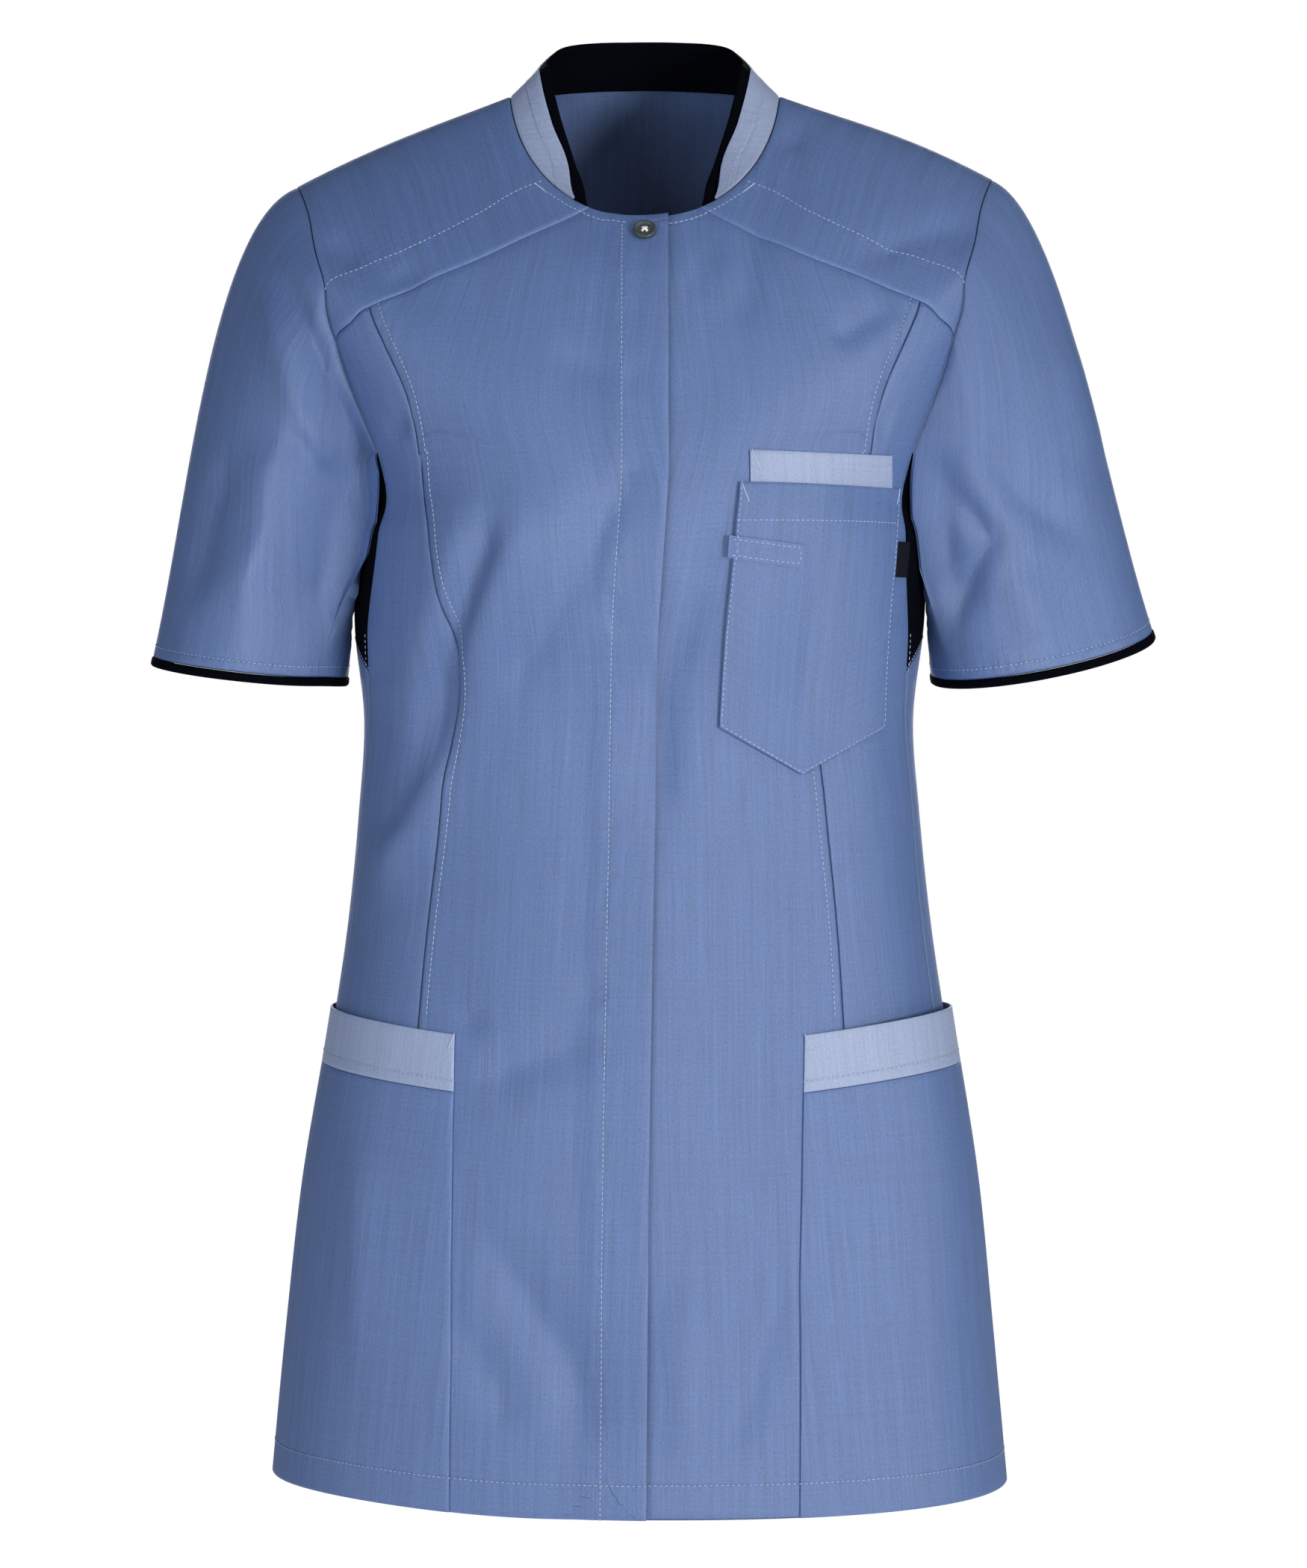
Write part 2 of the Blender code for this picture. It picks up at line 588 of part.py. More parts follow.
def sleeve_grid(seams, sleeve):
    """Rows of points down the sleeve, each from the front lower armhole over the shoulder and round."""
    loop = joined(seams["armhole_front"], seams["armhole_top"], seams["armhole_back"], seams["underarm"])[:-1]
    loop = loop if sleeve.side > 0 else mirrored(loop)
    edge = trunk(loop[:, 0], loop[:, 1])
    closed = np.vstack([edge, edge[:1]])
    run = np.concatenate([[0], np.cumsum(np.linalg.norm(np.diff(closed, axis=0), axis=1))])
    tip = ROWS_ARMHOLE + ROWS_YOKE - 1
    around = 2 * math.pi * (run[:-1] - run[tip]) / run[-1]
    start = edge + np.array([sleeve.side * SLEEVE_START, 0, 0])
    under = (1 - np.cos(around)) / 2
    out = sleeve.out * (1 - under) + LEAVE_UNDER * under
    down = LEAVE_DOWN[0] * (1 - under) + LEAVE_DOWN[1] * under
    forward = np.where(np.sin(around) < 0, LEAVE_FRONT, LEAVE_BACK) * np.sin(around)
    leave = np.stack([sleeve.side * out, forward, -down], -1)
    hem = np.stack(
        [
            sleeve.hem_x + sleeve.side * sleeve.half_width * np.cos(around),
            SLEEVE_MIDDLE_Y + sleeve.half_depth * np.sin(around),
            sleeve.hem_z + sleeve.tilt * np.cos(around) + sleeve.drop * np.sin(around),
        ],
        -1,
    )
    fall = np.linalg.norm(hem - start, axis=1)[:, None]
    flare = sleeve.flare * (1 - under) + UNDER_FLARE * under
    arrive = np.stack([sleeve.side * flare, 0 * flare, -np.sqrt(1 - flare**2)], -1) * fall
    rows = []
    for t in np.linspace(0, 1, SLEEVE_ROWS + 1):
        rows.append(
            (2 * t**3 - 3 * t**2 + 1) * start
            + (t**3 - 2 * t**2 + t) * leave
            + (3 * t**2 - 2 * t**3) * hem
            + (t**3 - t**2) * arrive
        )
    grid = np.stack(rows)
    wrap = np.clip(-np.sin(around), 0, 1) * under / TUCK_PEAK
    grid[..., 0] -= sleeve.side * TUCK * wrap * np.sin(np.linspace(0, math.pi, len(grid)))[:, None]
    normal = grid_normals(grid) * sleeve.side
    push = crease_depth(grid[..., 0], grid[..., 2], SLEEVE_CREASES) * smooth(-normal[..., 1] / 0.4)
    push *= smooth(np.linspace(0, 1, SLEEVE_ROWS + 1) / 0.15)[:, None]
    return clear_of_trunk(grid + normal * push[..., None], sleeve.side)


def add_sleeves(seams):
    for name, sleeve in SLEEVES.items():
        grid = sleeve_grid(seams, sleeve)
        normal = grid_normals(grid) * sleeve.side
        add_shell(name + "_sleeve", grid, grid - WALL * normal, "blue_poplin", ring=True)
        step = grid[-1] - grid[-2]
        step /= np.linalg.norm(step, axis=1, keepdims=True)
        rows = np.stack([grid[-1] + step * along for along in (SEAM, SEAM + BINDING)])
        proud = (BINDING_WALL - WALL) / 2
        outer, inner = rows + normal[-1] * proud, rows - normal[-1] * (WALL + proud)
        add_shell(name + "_sleeve_binding", outer, inner, "navy_knit", ring=True)


# The collar


def collar_layer(out, turns, column):
    """Points of a collar layer, moved out of the band's outer face, from the left front end to the right."""
    rows = CollarRow(*through([row.turn for row in COLLAR], COLLAR, np.abs(turns)).T)
    height, lean, gap = getattr(rows, column), rows.lean, rows.foot
    foot = trunk(180 + turns, np.full(len(turns), NECK))
    toward = np.stack([-foot[:, 0], COLLAR_MIDDLE_Y - foot[:, 1], 0 * turns], -1)
    toward /= np.linalg.norm(toward, axis=1, keepdims=True)
    lean = np.radians(lean)[:, None]
    rise = toward * np.sin(lean) + np.array([0, 0, 1.0]) * np.cos(lean)
    shares = np.linspace(0, 1, COLLAR_ROWS + 1)[:, None, None]
    face = foot + rise * (gap[:, None] + height[:, None] * shares)
    normal = -grid_normals(face, ring=False)
    return face + normal * out


def add_collar():
    turns = np.linspace(-BAND_END, BAND_END, COLLAR_COLUMNS + 1)
    outer, inner = (collar_layer(-deep, turns, "band") for deep in (0, TRIM_WALL))
    add_shell("collar_band", outer, inner, "pale_poplin")
    turns = np.concatenate([[-LINING_END], turns, [LINING_END]])
    depth = TRIM_WALL + COLLAR_GAP
    outer, inner = (collar_layer(-deep, turns, "lining") for deep in (depth, depth + TRIM_WALL))
    add_shell("collar_lining", outer, inner, "navy_knit")


# Pockets


def add_lower_pockets(seams):
    share = np.linspace(0, 1, POCKET_COLUMNS + 1)
    side_back = seams["side_back"]

    def across(z_inner, z_side):
        """The (turn, up) places across a pocket, from its inner edge round to the panel's back seam."""
        inner = turn_of_x(POCKET_INNER, z_inner)
        outer = through(side_back[:, 1], side_back[:, :1], [z_side])[0, 0] - BACK_EDGE_INSET
        heights = z_inner + (z_side - z_inner) * np.sin(share * math.pi / 2)
        return np.column_stack([inner + (outer - inner) * share, heights])

    top = across(BAND_TOP_INNER, BAND_TOP_SIDE)
    foot = across(BAND_TOP_INNER - BAND_HEIGHT, BAND_TOP_SIDE - BAND_HEIGHT)
    hem = across(HEM + SEAM, HEM + SEAM)
    level = HEIGHTS_BELOW[1 : POCKET_ROWS]
    bag = np.stack([hem] + [across(z, z) for z in level] + [foot])
    band = np.stack([foot, (foot + top) / 2, top])
    across_mouth = np.sin(np.clip(share * GAPE_REACH, 0, 1) * math.pi) ** GAPE_POWER
    for piece, places, colour in (("_pocket", bag, "blue_poplin"), ("_pocket_band", band, "pale_poplin")):
        gape = across_mouth * smooth((places[..., 1] - GAPE_FOOT) / GAPE_RISE)
        for side, grid in (("left", places), ("right", mirrored(places))):
            add_panel(side + piece, grid, colour, LIE + TRIM_WALL + BAND_GAPE[side] * gape, TRIM_WALL)


def add_chest_pocket():
    for piece in PATCHES:
        grid = []
        for t in np.linspace(0, 1, piece.rows + 1):
            row = []
            for s in np.linspace(0, 1, piece.columns + 1):
                top_x = piece.top_x[0] + (piece.top_x[1] - piece.top_x[0]) * s
                foot_x = piece.foot_x[0] + (piece.foot_x[1] - piece.foot_x[0]) * s
                foot = piece.foot + piece.tip * (1 - abs(2 * s - 1))
                height = piece.top + (foot - piece.top) * t - piece.slope * s
                row.append(seen_at(top_x + (foot_x - top_x) * t, height))
            grid.append(row)
        out = LIE + piece.layer * TRIM_WALL + (piece.layer - 1) * LAYER_GAP
        add_panel(piece.name, np.array(grid), piece.finish, out, TRIM_WALL)


def circle(middle_x, middle_y, radius, sides):
    angles = np.arange(sides) * 2 * math.pi / sides
    return [(middle_x + radius * math.cos(angle), middle_y + radius * math.sin(angle)) for angle in angles]


def add_button():
    """A round button with a dished face and four holes, lying on the fly."""
    up = seen_at(0, BUTTON_Z)[1]
    foot, tip = (trunk(0.0, up, FLY_LIFT + SEAM + out) for out in (0.0, 1.0))
    normal = tip - foot
    side = np.array([1.0, 0, 0])
    upward = np.cross(side, normal)
    upward /= np.linalg.norm(upward)
    holes = [(x * BUTTON_HOLE_AT, y * BUTTON_HOLE_AT) for x in (-1, 1) for y in (-1, 1)]

    flat = []
    loops = []
    edge_radius = BUTTON_EDGE[-1][1] * BUTTON_RADIUS
    for x, y, radius, sides in [(0, 0, edge_radius, BUTTON_SIDES)] + [
        (x, y, BUTTON_HOLE, HOLE_SIDES) for x, y in holes
    ]:
        loops.append(list(range(len(flat), len(flat) + sides)))
        flat += circle(x, y, radius, sides)
    edges = [(a, b) for loop in loops for a, b in zip(loop, loop[1:] + loop[:1])]
    drawn = delaunay_2d_cdt([Vector(place) for place in flat], edges, [], 1, 1e-5)
    face = []
    for corners in drawn[2]:
        middle = np.mean([flat[drawn[3][k][0]] for k in corners], axis=0)
        if all(math.dist(middle, hole) > BUTTON_HOLE for hole in holes):
            face.append([drawn[3][k][0] for k in corners])

    vertices, faces = [], []
    levels = [share * BUTTON_THICKNESS for share in (BUTTON_EDGE[0][0], BUTTON_EDGE[-1][0])]
    for level, turned in zip(levels, (False, True)):
        start = len(vertices)
        vertices += [(x, y, level) for x, y in flat]
        faces += [[start + k for k in (corners if turned else reversed(corners))] for corners in face]
    for loop in loops[1:]:
        for a, b in zip(loop, loop[1:] + loop[:1]):
            faces.append([a, b, len(flat) + b, len(flat) + a])
    rings = [loops[0]]
    for share, radius in BUTTON_EDGE[1:-1]:
        rings.append(list(range(len(vertices), len(vertices) + BUTTON_SIDES)))
        ring = circle(0, 0, radius * BUTTON_RADIUS, BUTTON_SIDES)
        vertices += [(x, y, share * BUTTON_THICKNESS) for x, y in ring]
    rings.append([len(flat) + k for k in loops[0]])
    for low, high in zip(rings, rings[1:]):
        for k in range(BUTTON_SIDES):
            after = (k + 1) % BUTTON_SIDES
            faces.append([low[k], low[after], high[after], high[k]])
    placed = [foot + side * x + upward * y + normal * z for x, y, z in vertices]
    add_piece("neck_button", placed, faces, "button")


def main():
    clear_scene()
    seams = make_seams()
    add_fronts(seams)
    add_sides(seams)
    add_yokes(seams)
    add_back(seams)
    add_sleeves(seams)
    add_collar()
    add_lower_pockets(seams)
    add_chest_pocket()
    add_button()


main()
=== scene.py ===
# %% [markdown]
# # A work tunic, filled out as if worn
#
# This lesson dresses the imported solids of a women's short-sleeved work tunic: mid-blue poplin, pale chambray
# trims, near-black knit and one dark button. The solids keep their places in MuJoCo. Here every piece is made
# again from the same seam lines, with more rows, finer creases, stitches and cloth. All sizes in the tables
# are in millimetres, and the last step of each piece turns them into metres.

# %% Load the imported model
import math
from collections import namedtuple

import bmesh
import bpy
import numpy as np
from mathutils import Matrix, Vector
from mathutils.geometry import delaunay_2d_cdt


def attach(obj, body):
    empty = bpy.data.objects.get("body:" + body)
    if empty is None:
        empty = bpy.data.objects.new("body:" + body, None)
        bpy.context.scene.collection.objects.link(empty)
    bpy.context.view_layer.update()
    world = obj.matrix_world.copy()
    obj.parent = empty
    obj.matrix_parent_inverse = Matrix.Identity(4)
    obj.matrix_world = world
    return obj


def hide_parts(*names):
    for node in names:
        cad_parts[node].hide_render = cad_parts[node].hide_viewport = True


MM = 0.001
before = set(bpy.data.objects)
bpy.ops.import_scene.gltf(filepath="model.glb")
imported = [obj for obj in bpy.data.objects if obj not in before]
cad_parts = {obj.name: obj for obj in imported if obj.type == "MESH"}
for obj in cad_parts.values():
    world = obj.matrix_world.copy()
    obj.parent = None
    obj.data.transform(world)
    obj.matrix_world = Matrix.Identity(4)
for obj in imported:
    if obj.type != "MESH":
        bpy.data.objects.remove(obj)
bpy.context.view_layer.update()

# %% Small helpers for objects
def put(name, data):
    """A new object in the scene."""
    thing = bpy.data.objects.new(name, data)
    bpy.context.collection.objects.link(thing)
    return thing


def new_mesh(name, points, faces, edges=()):
    mesh = bpy.data.meshes.new(name)
    mesh.from_pydata(points, edges, faces)
    return mesh


def circle(middle_x, middle_y, radius, sides):
    angles = np.arange(sides) * 2 * math.pi / sides
    return [(middle_x + radius * math.cos(angle), middle_y + radius * math.sin(angle)) for angle in angles]


print("four points of a circle:", [(round(x), round(y)) for x, y in circle(0, 0, 1, 4)])


# %% Small helpers for materials and their nodes
def set_inputs(tree, node, values):
    """Sets a node's inputs, by name or number, to values, or links them to other nodes' sockets."""
    for key, value in values.items():
        if isinstance(value, bpy.types.NodeSocket):
            tree.links.new(value, node.inputs[key])
        else:
            node.inputs[key].default_value = value


def add_node(tree, kind, values=None, **settings):
    node = tree.nodes.new(kind)
    for key, value in settings.items():
        setattr(node, key, value)
    set_inputs(tree, node, values or {})
    return node


def result(tree, kind, values=None, **settings):
    """The first output of a new node."""
    return add_node(tree, kind, values, **settings).outputs[0]


def maths(tree, operation, a, b=0.0, c=0.0, clamp=False):
    return result(tree, "ShaderNodeMath", {0: a, 1: b, 2: c}, operation=operation, use_clamp=clamp)


def times(tree, vector, factor):
    """A vector or a colour times a number or another vector."""
    return result(tree, "ShaderNodeVectorMath", {0: vector, 1: factor}, operation="MULTIPLY")


def add_noise(tree, place, scale, detail):
    return result(tree, "ShaderNodeTexNoise", {"Vector": place, "Scale": scale, "Detail": detail})


def new_material(name, looks):
    """A material. looks(tree) adds its nodes and gives the inputs of its Principled shader."""
    material = bpy.data.materials.new(name)
    material.use_nodes = True
    tree = material.node_tree
    set_inputs(tree, tree.nodes["Principled BSDF"], looks(tree))
    return material


# %% [markdown]
# ## The camera
#
# A catalogue photographer stands a few metres away with a long lens, level with the middle of the garment.
# That keeps the sides nearly parallel. The lens below gives the photograph's framing at 3.2 metres.

# %% Camera
CAMERA_PLACE = (0.0048, -3.2, -0.380)
LENS, SENSOR = 132.19, 36.0

camera_data = bpy.data.cameras.new("camera")
camera_data.lens = LENS
camera_data.sensor_width = SENSOR
camera_data.sensor_fit = "AUTO"
camera = put("camera", camera_data)
camera.location = CAMERA_PLACE
camera.rotation_euler = (math.radians(90), 0, 0)
bpy.context.scene.camera = camera
print("camera at", CAMERA_PLACE)

# %% [markdown]
# ## The studio
#
# The garment is held up by its shoulders, so it hangs above a plain pale floor in white surroundings. The
# soft key light stands in front, to the viewer's right and level with the waist, because the photograph's
# shoulders are darker than its chest. A weaker lamp fills the left side. Light from everywhere would
# flatten the folds, so the surroundings stay dim for every ray but the camera's own.

# %% Floor
FLOOR_Z, FLOOR_RADIUS = -1.38, 3.8  # the floor under somebody whose shoulders are at the origin
FLOOR_SIDES, FLOOR_GLOW = 96, 0.5
WHITE, PAPER, PAPER_ROUGHNESS = (1, 1, 1, 1), (0.92, 0.92, 0.92, 1), 0.9


def seen_by_camera(tree):
    return add_node(tree, "ShaderNodeLightPath").outputs["Is Camera Ray"]


def paper_looks(tree):
    """White paper that glows for the camera alone."""
    glow = maths(tree, "MULTIPLY", seen_by_camera(tree), FLOOR_GLOW)
    looks = {"Base Color": PAPER, "Roughness": PAPER_ROUGHNESS}
    return looks | {"Emission Color": WHITE, "Emission Strength": glow}


def add_floor():
    rim = [(x, y, FLOOR_Z) for x, y in circle(0, 0, FLOOR_RADIUS, FLOOR_SIDES)]
    mesh = new_mesh("floor", rim, [range(FLOOR_SIDES)])
    mesh.materials.append(new_material("studio_paper", paper_looks))
    put("floor", mesh)


add_floor()
print("floor at", FLOOR_Z, "m")

# %% Lights
Lamp = namedtuple("Lamp", "name place size watts colour")
LAMPS = [
    Lamp("key", (2.0, -2.7, -0.50), 0.9, 73, (1.0, 0.985, 0.92)),
    Lamp("fill", (-2.2, -2.6, -0.2), 3.0, 53, (0.87, 0.94, 1.0)),
    Lamp("top", (1.5, -1.3, 1.6), 1.6, 15, (0.97, 0.99, 1.0)),
    Lamp("back", (0.0, 3.3, 0.3), 2.6, 75, (1.0, 1.0, 1.0)),
]
AMBIENT, BACKGROUND = 0.14, 1.0
AIM = Vector((0, 0, -0.38))


def add_lamp(lamp):
    data = bpy.data.lights.new(lamp.name, "AREA")
    data.shape, data.size, data.energy, data.color = "DISK", lamp.size, lamp.watts, lamp.colour
    thing = put(lamp.name, data)
    thing.location = lamp.place
    thing.rotation_euler = (AIM - Vector(lamp.place)).to_track_quat("-Z", "Y").to_euler()


def add_world():
    world = bpy.data.worlds.new("studio")
    world.use_nodes = True
    tree = world.node_tree
    seen = {"Factor": seen_by_camera(tree), "A": AMBIENT, "B": BACKGROUND}
    strength = add_node(tree, "ShaderNodeMix", seen).outputs["Result"]
    set_inputs(tree, tree.nodes["Background"], {"Color": WHITE, "Strength": strength})
    bpy.context.scene.world = world


for lamp in LAMPS:
    add_lamp(lamp)
add_world()
bpy.context.scene.view_settings.view_transform = "Standard"
print(len(LAMPS), "lamps")

# %% [markdown]
# ## One surface for the whole trunk
#
# A tailor's pattern is flat, but a worn garment is one smooth shell that the seams divide. So the trunk is
# one surface: a table of rings from hem to neckline, each a superellipse, joined by a smooth curve. Every
# place on it has a turn, in degrees from the centre front, and an up, the height that its ring has there.
# These are the same rings as in the solids, which keeps each dressed piece on its solid.

# %% Small helpers for points
def smooth(t):
    """0 to 1 with level ends."""
    t = np.clip(t, 0, 1)
    return t * t * (3 - 2 * t)


def ramp(value, start, length):
    """Rises smoothly from 0 at the start to 1 after the length."""
    return smooth((value - start) / length)


def mix(a, b, share):
    """a at the share 0 and b at the share 1."""
    return a * (1 - share) + b * share


def unit(vectors):
    return vectors / np.linalg.norm(vectors, axis=-1, keepdims=True)


def run_along(rows):
    """The length run from the first point to each, down a path of points or down every column of a grid."""
    lengths = np.linalg.norm(np.diff(rows, axis=0), axis=-1)
    return np.concatenate([np.zeros_like(lengths[:1]), np.cumsum(lengths, 0)])


def hermite(t, start, leave, end, arrive):
    """Places at the share t of curves that leave their start and arrive at their end in given directions."""
    near = (2 * t**3 - 3 * t**2 + 1) * start + (t**3 - 2 * t**2 + t) * leave
    return near + (3 * t**2 - 2 * t**3) * end + (t**3 - t**2) * arrive


def through(knots, values, at):
    """A smooth curve through the rows of values at the rising knots, read at the given places."""
    knots, values = np.asarray(knots, float), np.asarray(values, float)
    at = np.clip(np.asarray(at, float), knots[0], knots[-1])
    step = np.diff(knots)[:, None]
    slope = np.diff(values, axis=0) / step
    bend = (slope[:-1] * step[1:] + slope[1:] * step[:-1]) / (step[1:] + step[:-1])
    tangent = np.vstack([slope[:1], bend, slope[-1:]])
    i = np.clip(np.searchsorted(knots, at, "right") - 1, 0, len(knots) - 2)
    t = (at[:, None] - knots[i][:, None]) / step[i]
    return hermite(t, values[i], step[i] * tangent[i], values[i + 1], step[i] * tangent[i + 1])


def read_off(table, heights):
    """The first number of a table's (number, height) rows, read at the heights."""
    table = np.asarray(table, float)
    return through(table[:, 1], table[:, :1], heights)[:, 0]


print("a ramp from 0 to 10:", [round(float(ramp(value, 0, 10)), 2) for value in (0, 2.5, 5, 7.5, 10)])

# %% The rings
Ring = namedtuple("Ring", "front side back width chest spine square twist shift")
RINGS = [
    Ring(-773, -765, -769, 202.5, 128, 123, 2.30, -3.8, -3.0),
    Ring(-684, -680, -682, 194.5, 126, 121, 2.30, -3.6, -3.0),
    Ring(-602, -600, -601, 185.0, 122, 118, 2.30, -3.4, -3.0),
    Ring(-526, -525, -525, 172.0, 117, 112, 2.30, -3.0, -3.0),
    Ring(-455, -455, -455, 161.5, 111, 102, 2.30, -2.5, -3.0),
    Ring(-395, -395, -395, 155.5, 107, 96, 2.30, -1.9, -3.2),
    Ring(-345, -345, -345, 152.3, 110, 94, 2.30, -1.4, -3.4),
    Ring(-290, -290, -290, 158.0, 125, 98, 2.30, -0.8, -3.0),
    Ring(-245, -245, -245, 158.0, 133, 103, 2.30, -0.3, -1.2),
    Ring(-215, -215, -215, 156.5, 132, 105, 2.30, 0.0, 0.0),
    Ring(-176, -62, -150, 205.0, 124.5, 105, 2.20, 0.0, 0.0),
    Ring(-135, -49, -72, 193.0, 112, 99, 2.05, 0.0, 0.0),
    Ring(-100, -23, -22, 138.0, 96, 84, 2.05, 0.0, 0.0),
    Ring(-72, 1.5, 14, 75.0, 75, 60, 2.20, 0.0, 0.0),
]
RIDGE = 0.2  # how much the ridge of the shoulders is rounded
HEM, UNDERARM, SHOULDER, NECK = (RINGS[i].front for i in (0, 9, 11, 13))  # rings with a name
STEP = 0.1  # degrees or millimetres either way, to see how the surface runs


def ring_at(up):
    """The ring whose centre front is at the height up; each field is an array."""
    rows = through([ring.front for ring in RINGS], [ring[1:] for ring in RINGS], np.ravel(up))
    return Ring(np.asarray(up, float), *[column.reshape(np.shape(up)) for column in rows.T])


def straight(turn, up):
    """Points of the trunk before it is creased and hung."""
    ring = ring_at(up)
    angle = np.radians(turn)
    power = 2 / ring.square
    share = np.abs(np.cos(angle)) ** power
    before = np.cos(angle) > 0
    x = ring.width * np.sign(np.sin(angle)) * np.abs(np.sin(angle)) ** power
    y = np.where(before, -ring.chest, ring.spine) * share
    drop = (np.hypot(share, RIDGE) - RIDGE) / (math.hypot(1, RIDGE) - RIDGE)
    z = ring.side + (np.where(before, ring.front, ring.back) - ring.side) * drop
    return np.stack([x, y, z], -1)


def directions(turn, up):
    """How the surface runs for a degree of turn and for a millimetre of up."""
    across = straight(turn + STEP, up) - straight(turn - STEP, up)
    along = straight(turn, up + STEP) - straight(turn, up - STEP)
    return across / (2 * STEP), along / (2 * STEP)


def straight_normal(turn, up):
    return unit(np.cross(*directions(turn, up)))


print("rings from", HEM, "to", NECK, "mm")

# %% [markdown]
# ## Folds
#
# Cloth that is filled out still shows where it is pulled: below the bust, at the waist, along the fly and in
# the skirt. Simulation would give other folds on every try, so each fold is a short path in a table, with
# the half width of its hollow and how far it pushes the cloth out (or in, below zero). The push fades at
# both ends.

# %% Tables of folds
Crease = namedtuple("Crease", "places width depth")
FRONT_CREASES = [
    Crease([(-79, -228), (-81, -253), (-96, -298), (-106, -340), (-114, -377)], 9.5, -9.0),
    Crease([(-66, -236), (-71, -258), (-88, -298), (-97, -340)], 11, 3.5),
    Crease([(-96, -232), (-99, -262), (-112, -300), (-122, -340)], 12, 3.0),
    Crease([(-9, -213), (-15, -230), (-37, -279), (-59, -316), (-70, -338)], 11, -5.0),
    Crease([(46, -265), (26, -304), (15, -330), (15, -375), (15, -406)], 10, -6.0),
    Crease([(47, -222), (38, -251), (29, -276)], 9, -3.0),
    Crease([(-100, -358), (-122, -400), (-145, -443)], 11, 6.0),
    Crease([(-114, -364), (-122, -387), (-133, -412)], 8, -3.5),
    Crease([(-87, -543), (-50, -528), (-13, -514)], 13, -4.0),
    Crease([(-84, -500), (-88, -516)], 8, -2.5),
    Crease([(-82, -614), (-29, -690), (-16, -735)], 15, -5.5),
    Crease([(-92, -666), (-71, -700), (-58, -728)], 13, -3.5),
    Crease([(86, -598), (78, -664), (62, -717), (38, -745)], 15, -6.5),
    Crease([(34, -640), (34, -692), (35, -744)], 17, 4.5),
    Crease([(89, -554), (76, -578), (65, -599)], 11, -3.0),
    Crease([(114, -591), (107, -628), (101, -666)], 10, -3.5),
    Crease([(-145, -560), (-145, -632), (-146, -704)], 14, 3.0),
    Crease([(180, -78), (148, -86), (112, -100)], 9, -3.0),
    Crease([(136, -122), (112, -136), (100, -143)], 9, -3.0),
    Crease([(62, -66), (57, -104), (52, -139)], 9, -3.0),
    Crease([(43, -78), (33, -98), (22, -122)], 6, -1.8),
    Crease([(92, -6), (84, -20), (77, -36)], 6, -3.0),
    Crease([(124, -184), (131, -188)], 5, -2.0),
    Crease([(-172, -79), (-164, -90), (-155, -98)], 7, -3.0),
    Crease([(-137, -101), (-129, -105), (-119, -109)], 7, -2.0),
    Crease([(-140, -186), (-126, -188)], 6, -2.5),
    Crease([(-14, -165), (-33, -156), (-52, -148)], 10, -2.0),
    Crease([(-140, -297), (-138, -312), (-137, -326)], 6, -2.0),
    Crease([(-12, -278), (-12, -300)], 5, -1.6),
    Crease([(-5, -156), (-3, -168)], 6, -1.6),
    Crease([(-7, -208), (-7, -222)], 6, -1.6),
    Crease([(-20, -486), (-19, -500)], 6, -1.6),
]
BACK_CREASES = [
    Crease([(30, -300), (62, -352), (108, -392)], 13, -7.0),
    Crease([(-24, -330), (-60, -372), (-112, -420)], 14, -7.0),
    Crease([(-30, -290), (-70, -318), (-118, -352)], 10, -4.0),
    Crease([(70, -560), (58, -660), (64, -790)], 22, -8.0),
    Crease([(-74, -540), (-66, -650), (-80, -790)], 22, -7.0),
    Crease([(-4, -600), (0, -690), (-8, -790)], 20, 6.0),
    Crease([(120, -110), (104, -160), (98, -205)], 12, -4.0),
    Crease([(-120, -110), (-106, -158), (-96, -200)], 12, -4.0),
    Crease([(-11, 12), (-9, -4), (-12, -20)], 5, -1.8),
    Crease([(24, 10), (20, -10), (8, -34)], 6, -1.6),
]
SLEEVE_CREASES = [
    Crease([(-207, -97), (-191, -120), (-177, -147), (-165, -171), (-157, -199)], 9, -6.0),
    Crease([(-209, -101), (-201, -135), (-191, -167), (-173, -203), (-161, -217)], 9, 4.0),
    Crease([(-192, -189), (-181, -203), (-165, -221)], 6, -3.5),
    Crease([(-195, -187), (-204, -211), (-205, -240), (-217, -269), (-223, -299)], 13, 6.0),
    Crease([(-228, -197), (-240, -240), (-252, -289)], 11, -5.0),
    Crease([(165, -216), (177, -232), (188, -247), (179, -263), (173, -281), (167, -300)], 8, -6.0),
    Crease([(178, -181), (190, -199), (204, -222), (225, -236), (245, -249)], 11, -4.5),
    Crease([(203, -262), (212, -285), (216, -306)], 11, 3.0),
    Crease([(225, -130), (238, -170), (246, -205)], 14, 3.0),
    Crease([(-144, -160), (-151, -198), (-166, -240), (-172, -280), (-174, -330)], 20, -14.0),
    Crease([(160, -190), (163, -240), (168, -300)], 12, -7.0),
]
print("folds of front, back and sleeves:", len(FRONT_CREASES), len(BACK_CREASES), len(SLEEVE_CREASES))

# %% The worn surface
BUST = (74, -248, 52, 62, 8.0)  # x, height, half width, half height, depth
CREASE_SHARP = 1.55  # 2 is a soft bell, and towards 1 the fold gets an edge
CREASE_END, CREASE_FADE = 0.15, 0.3  # the depth left at a fold's ends, and the share of its length that fades
FACING = 10, 30  # the folds of the front and the back start this far from the side, over this length
SHOULDER_LIFT = 4.0, (60, 110), (-210, 120)  # height, then the start and the length of its rise in x and in z
HEM_LIFT = 5.0, (40, 150), (600, 160)  # the same towards the other side and downwards


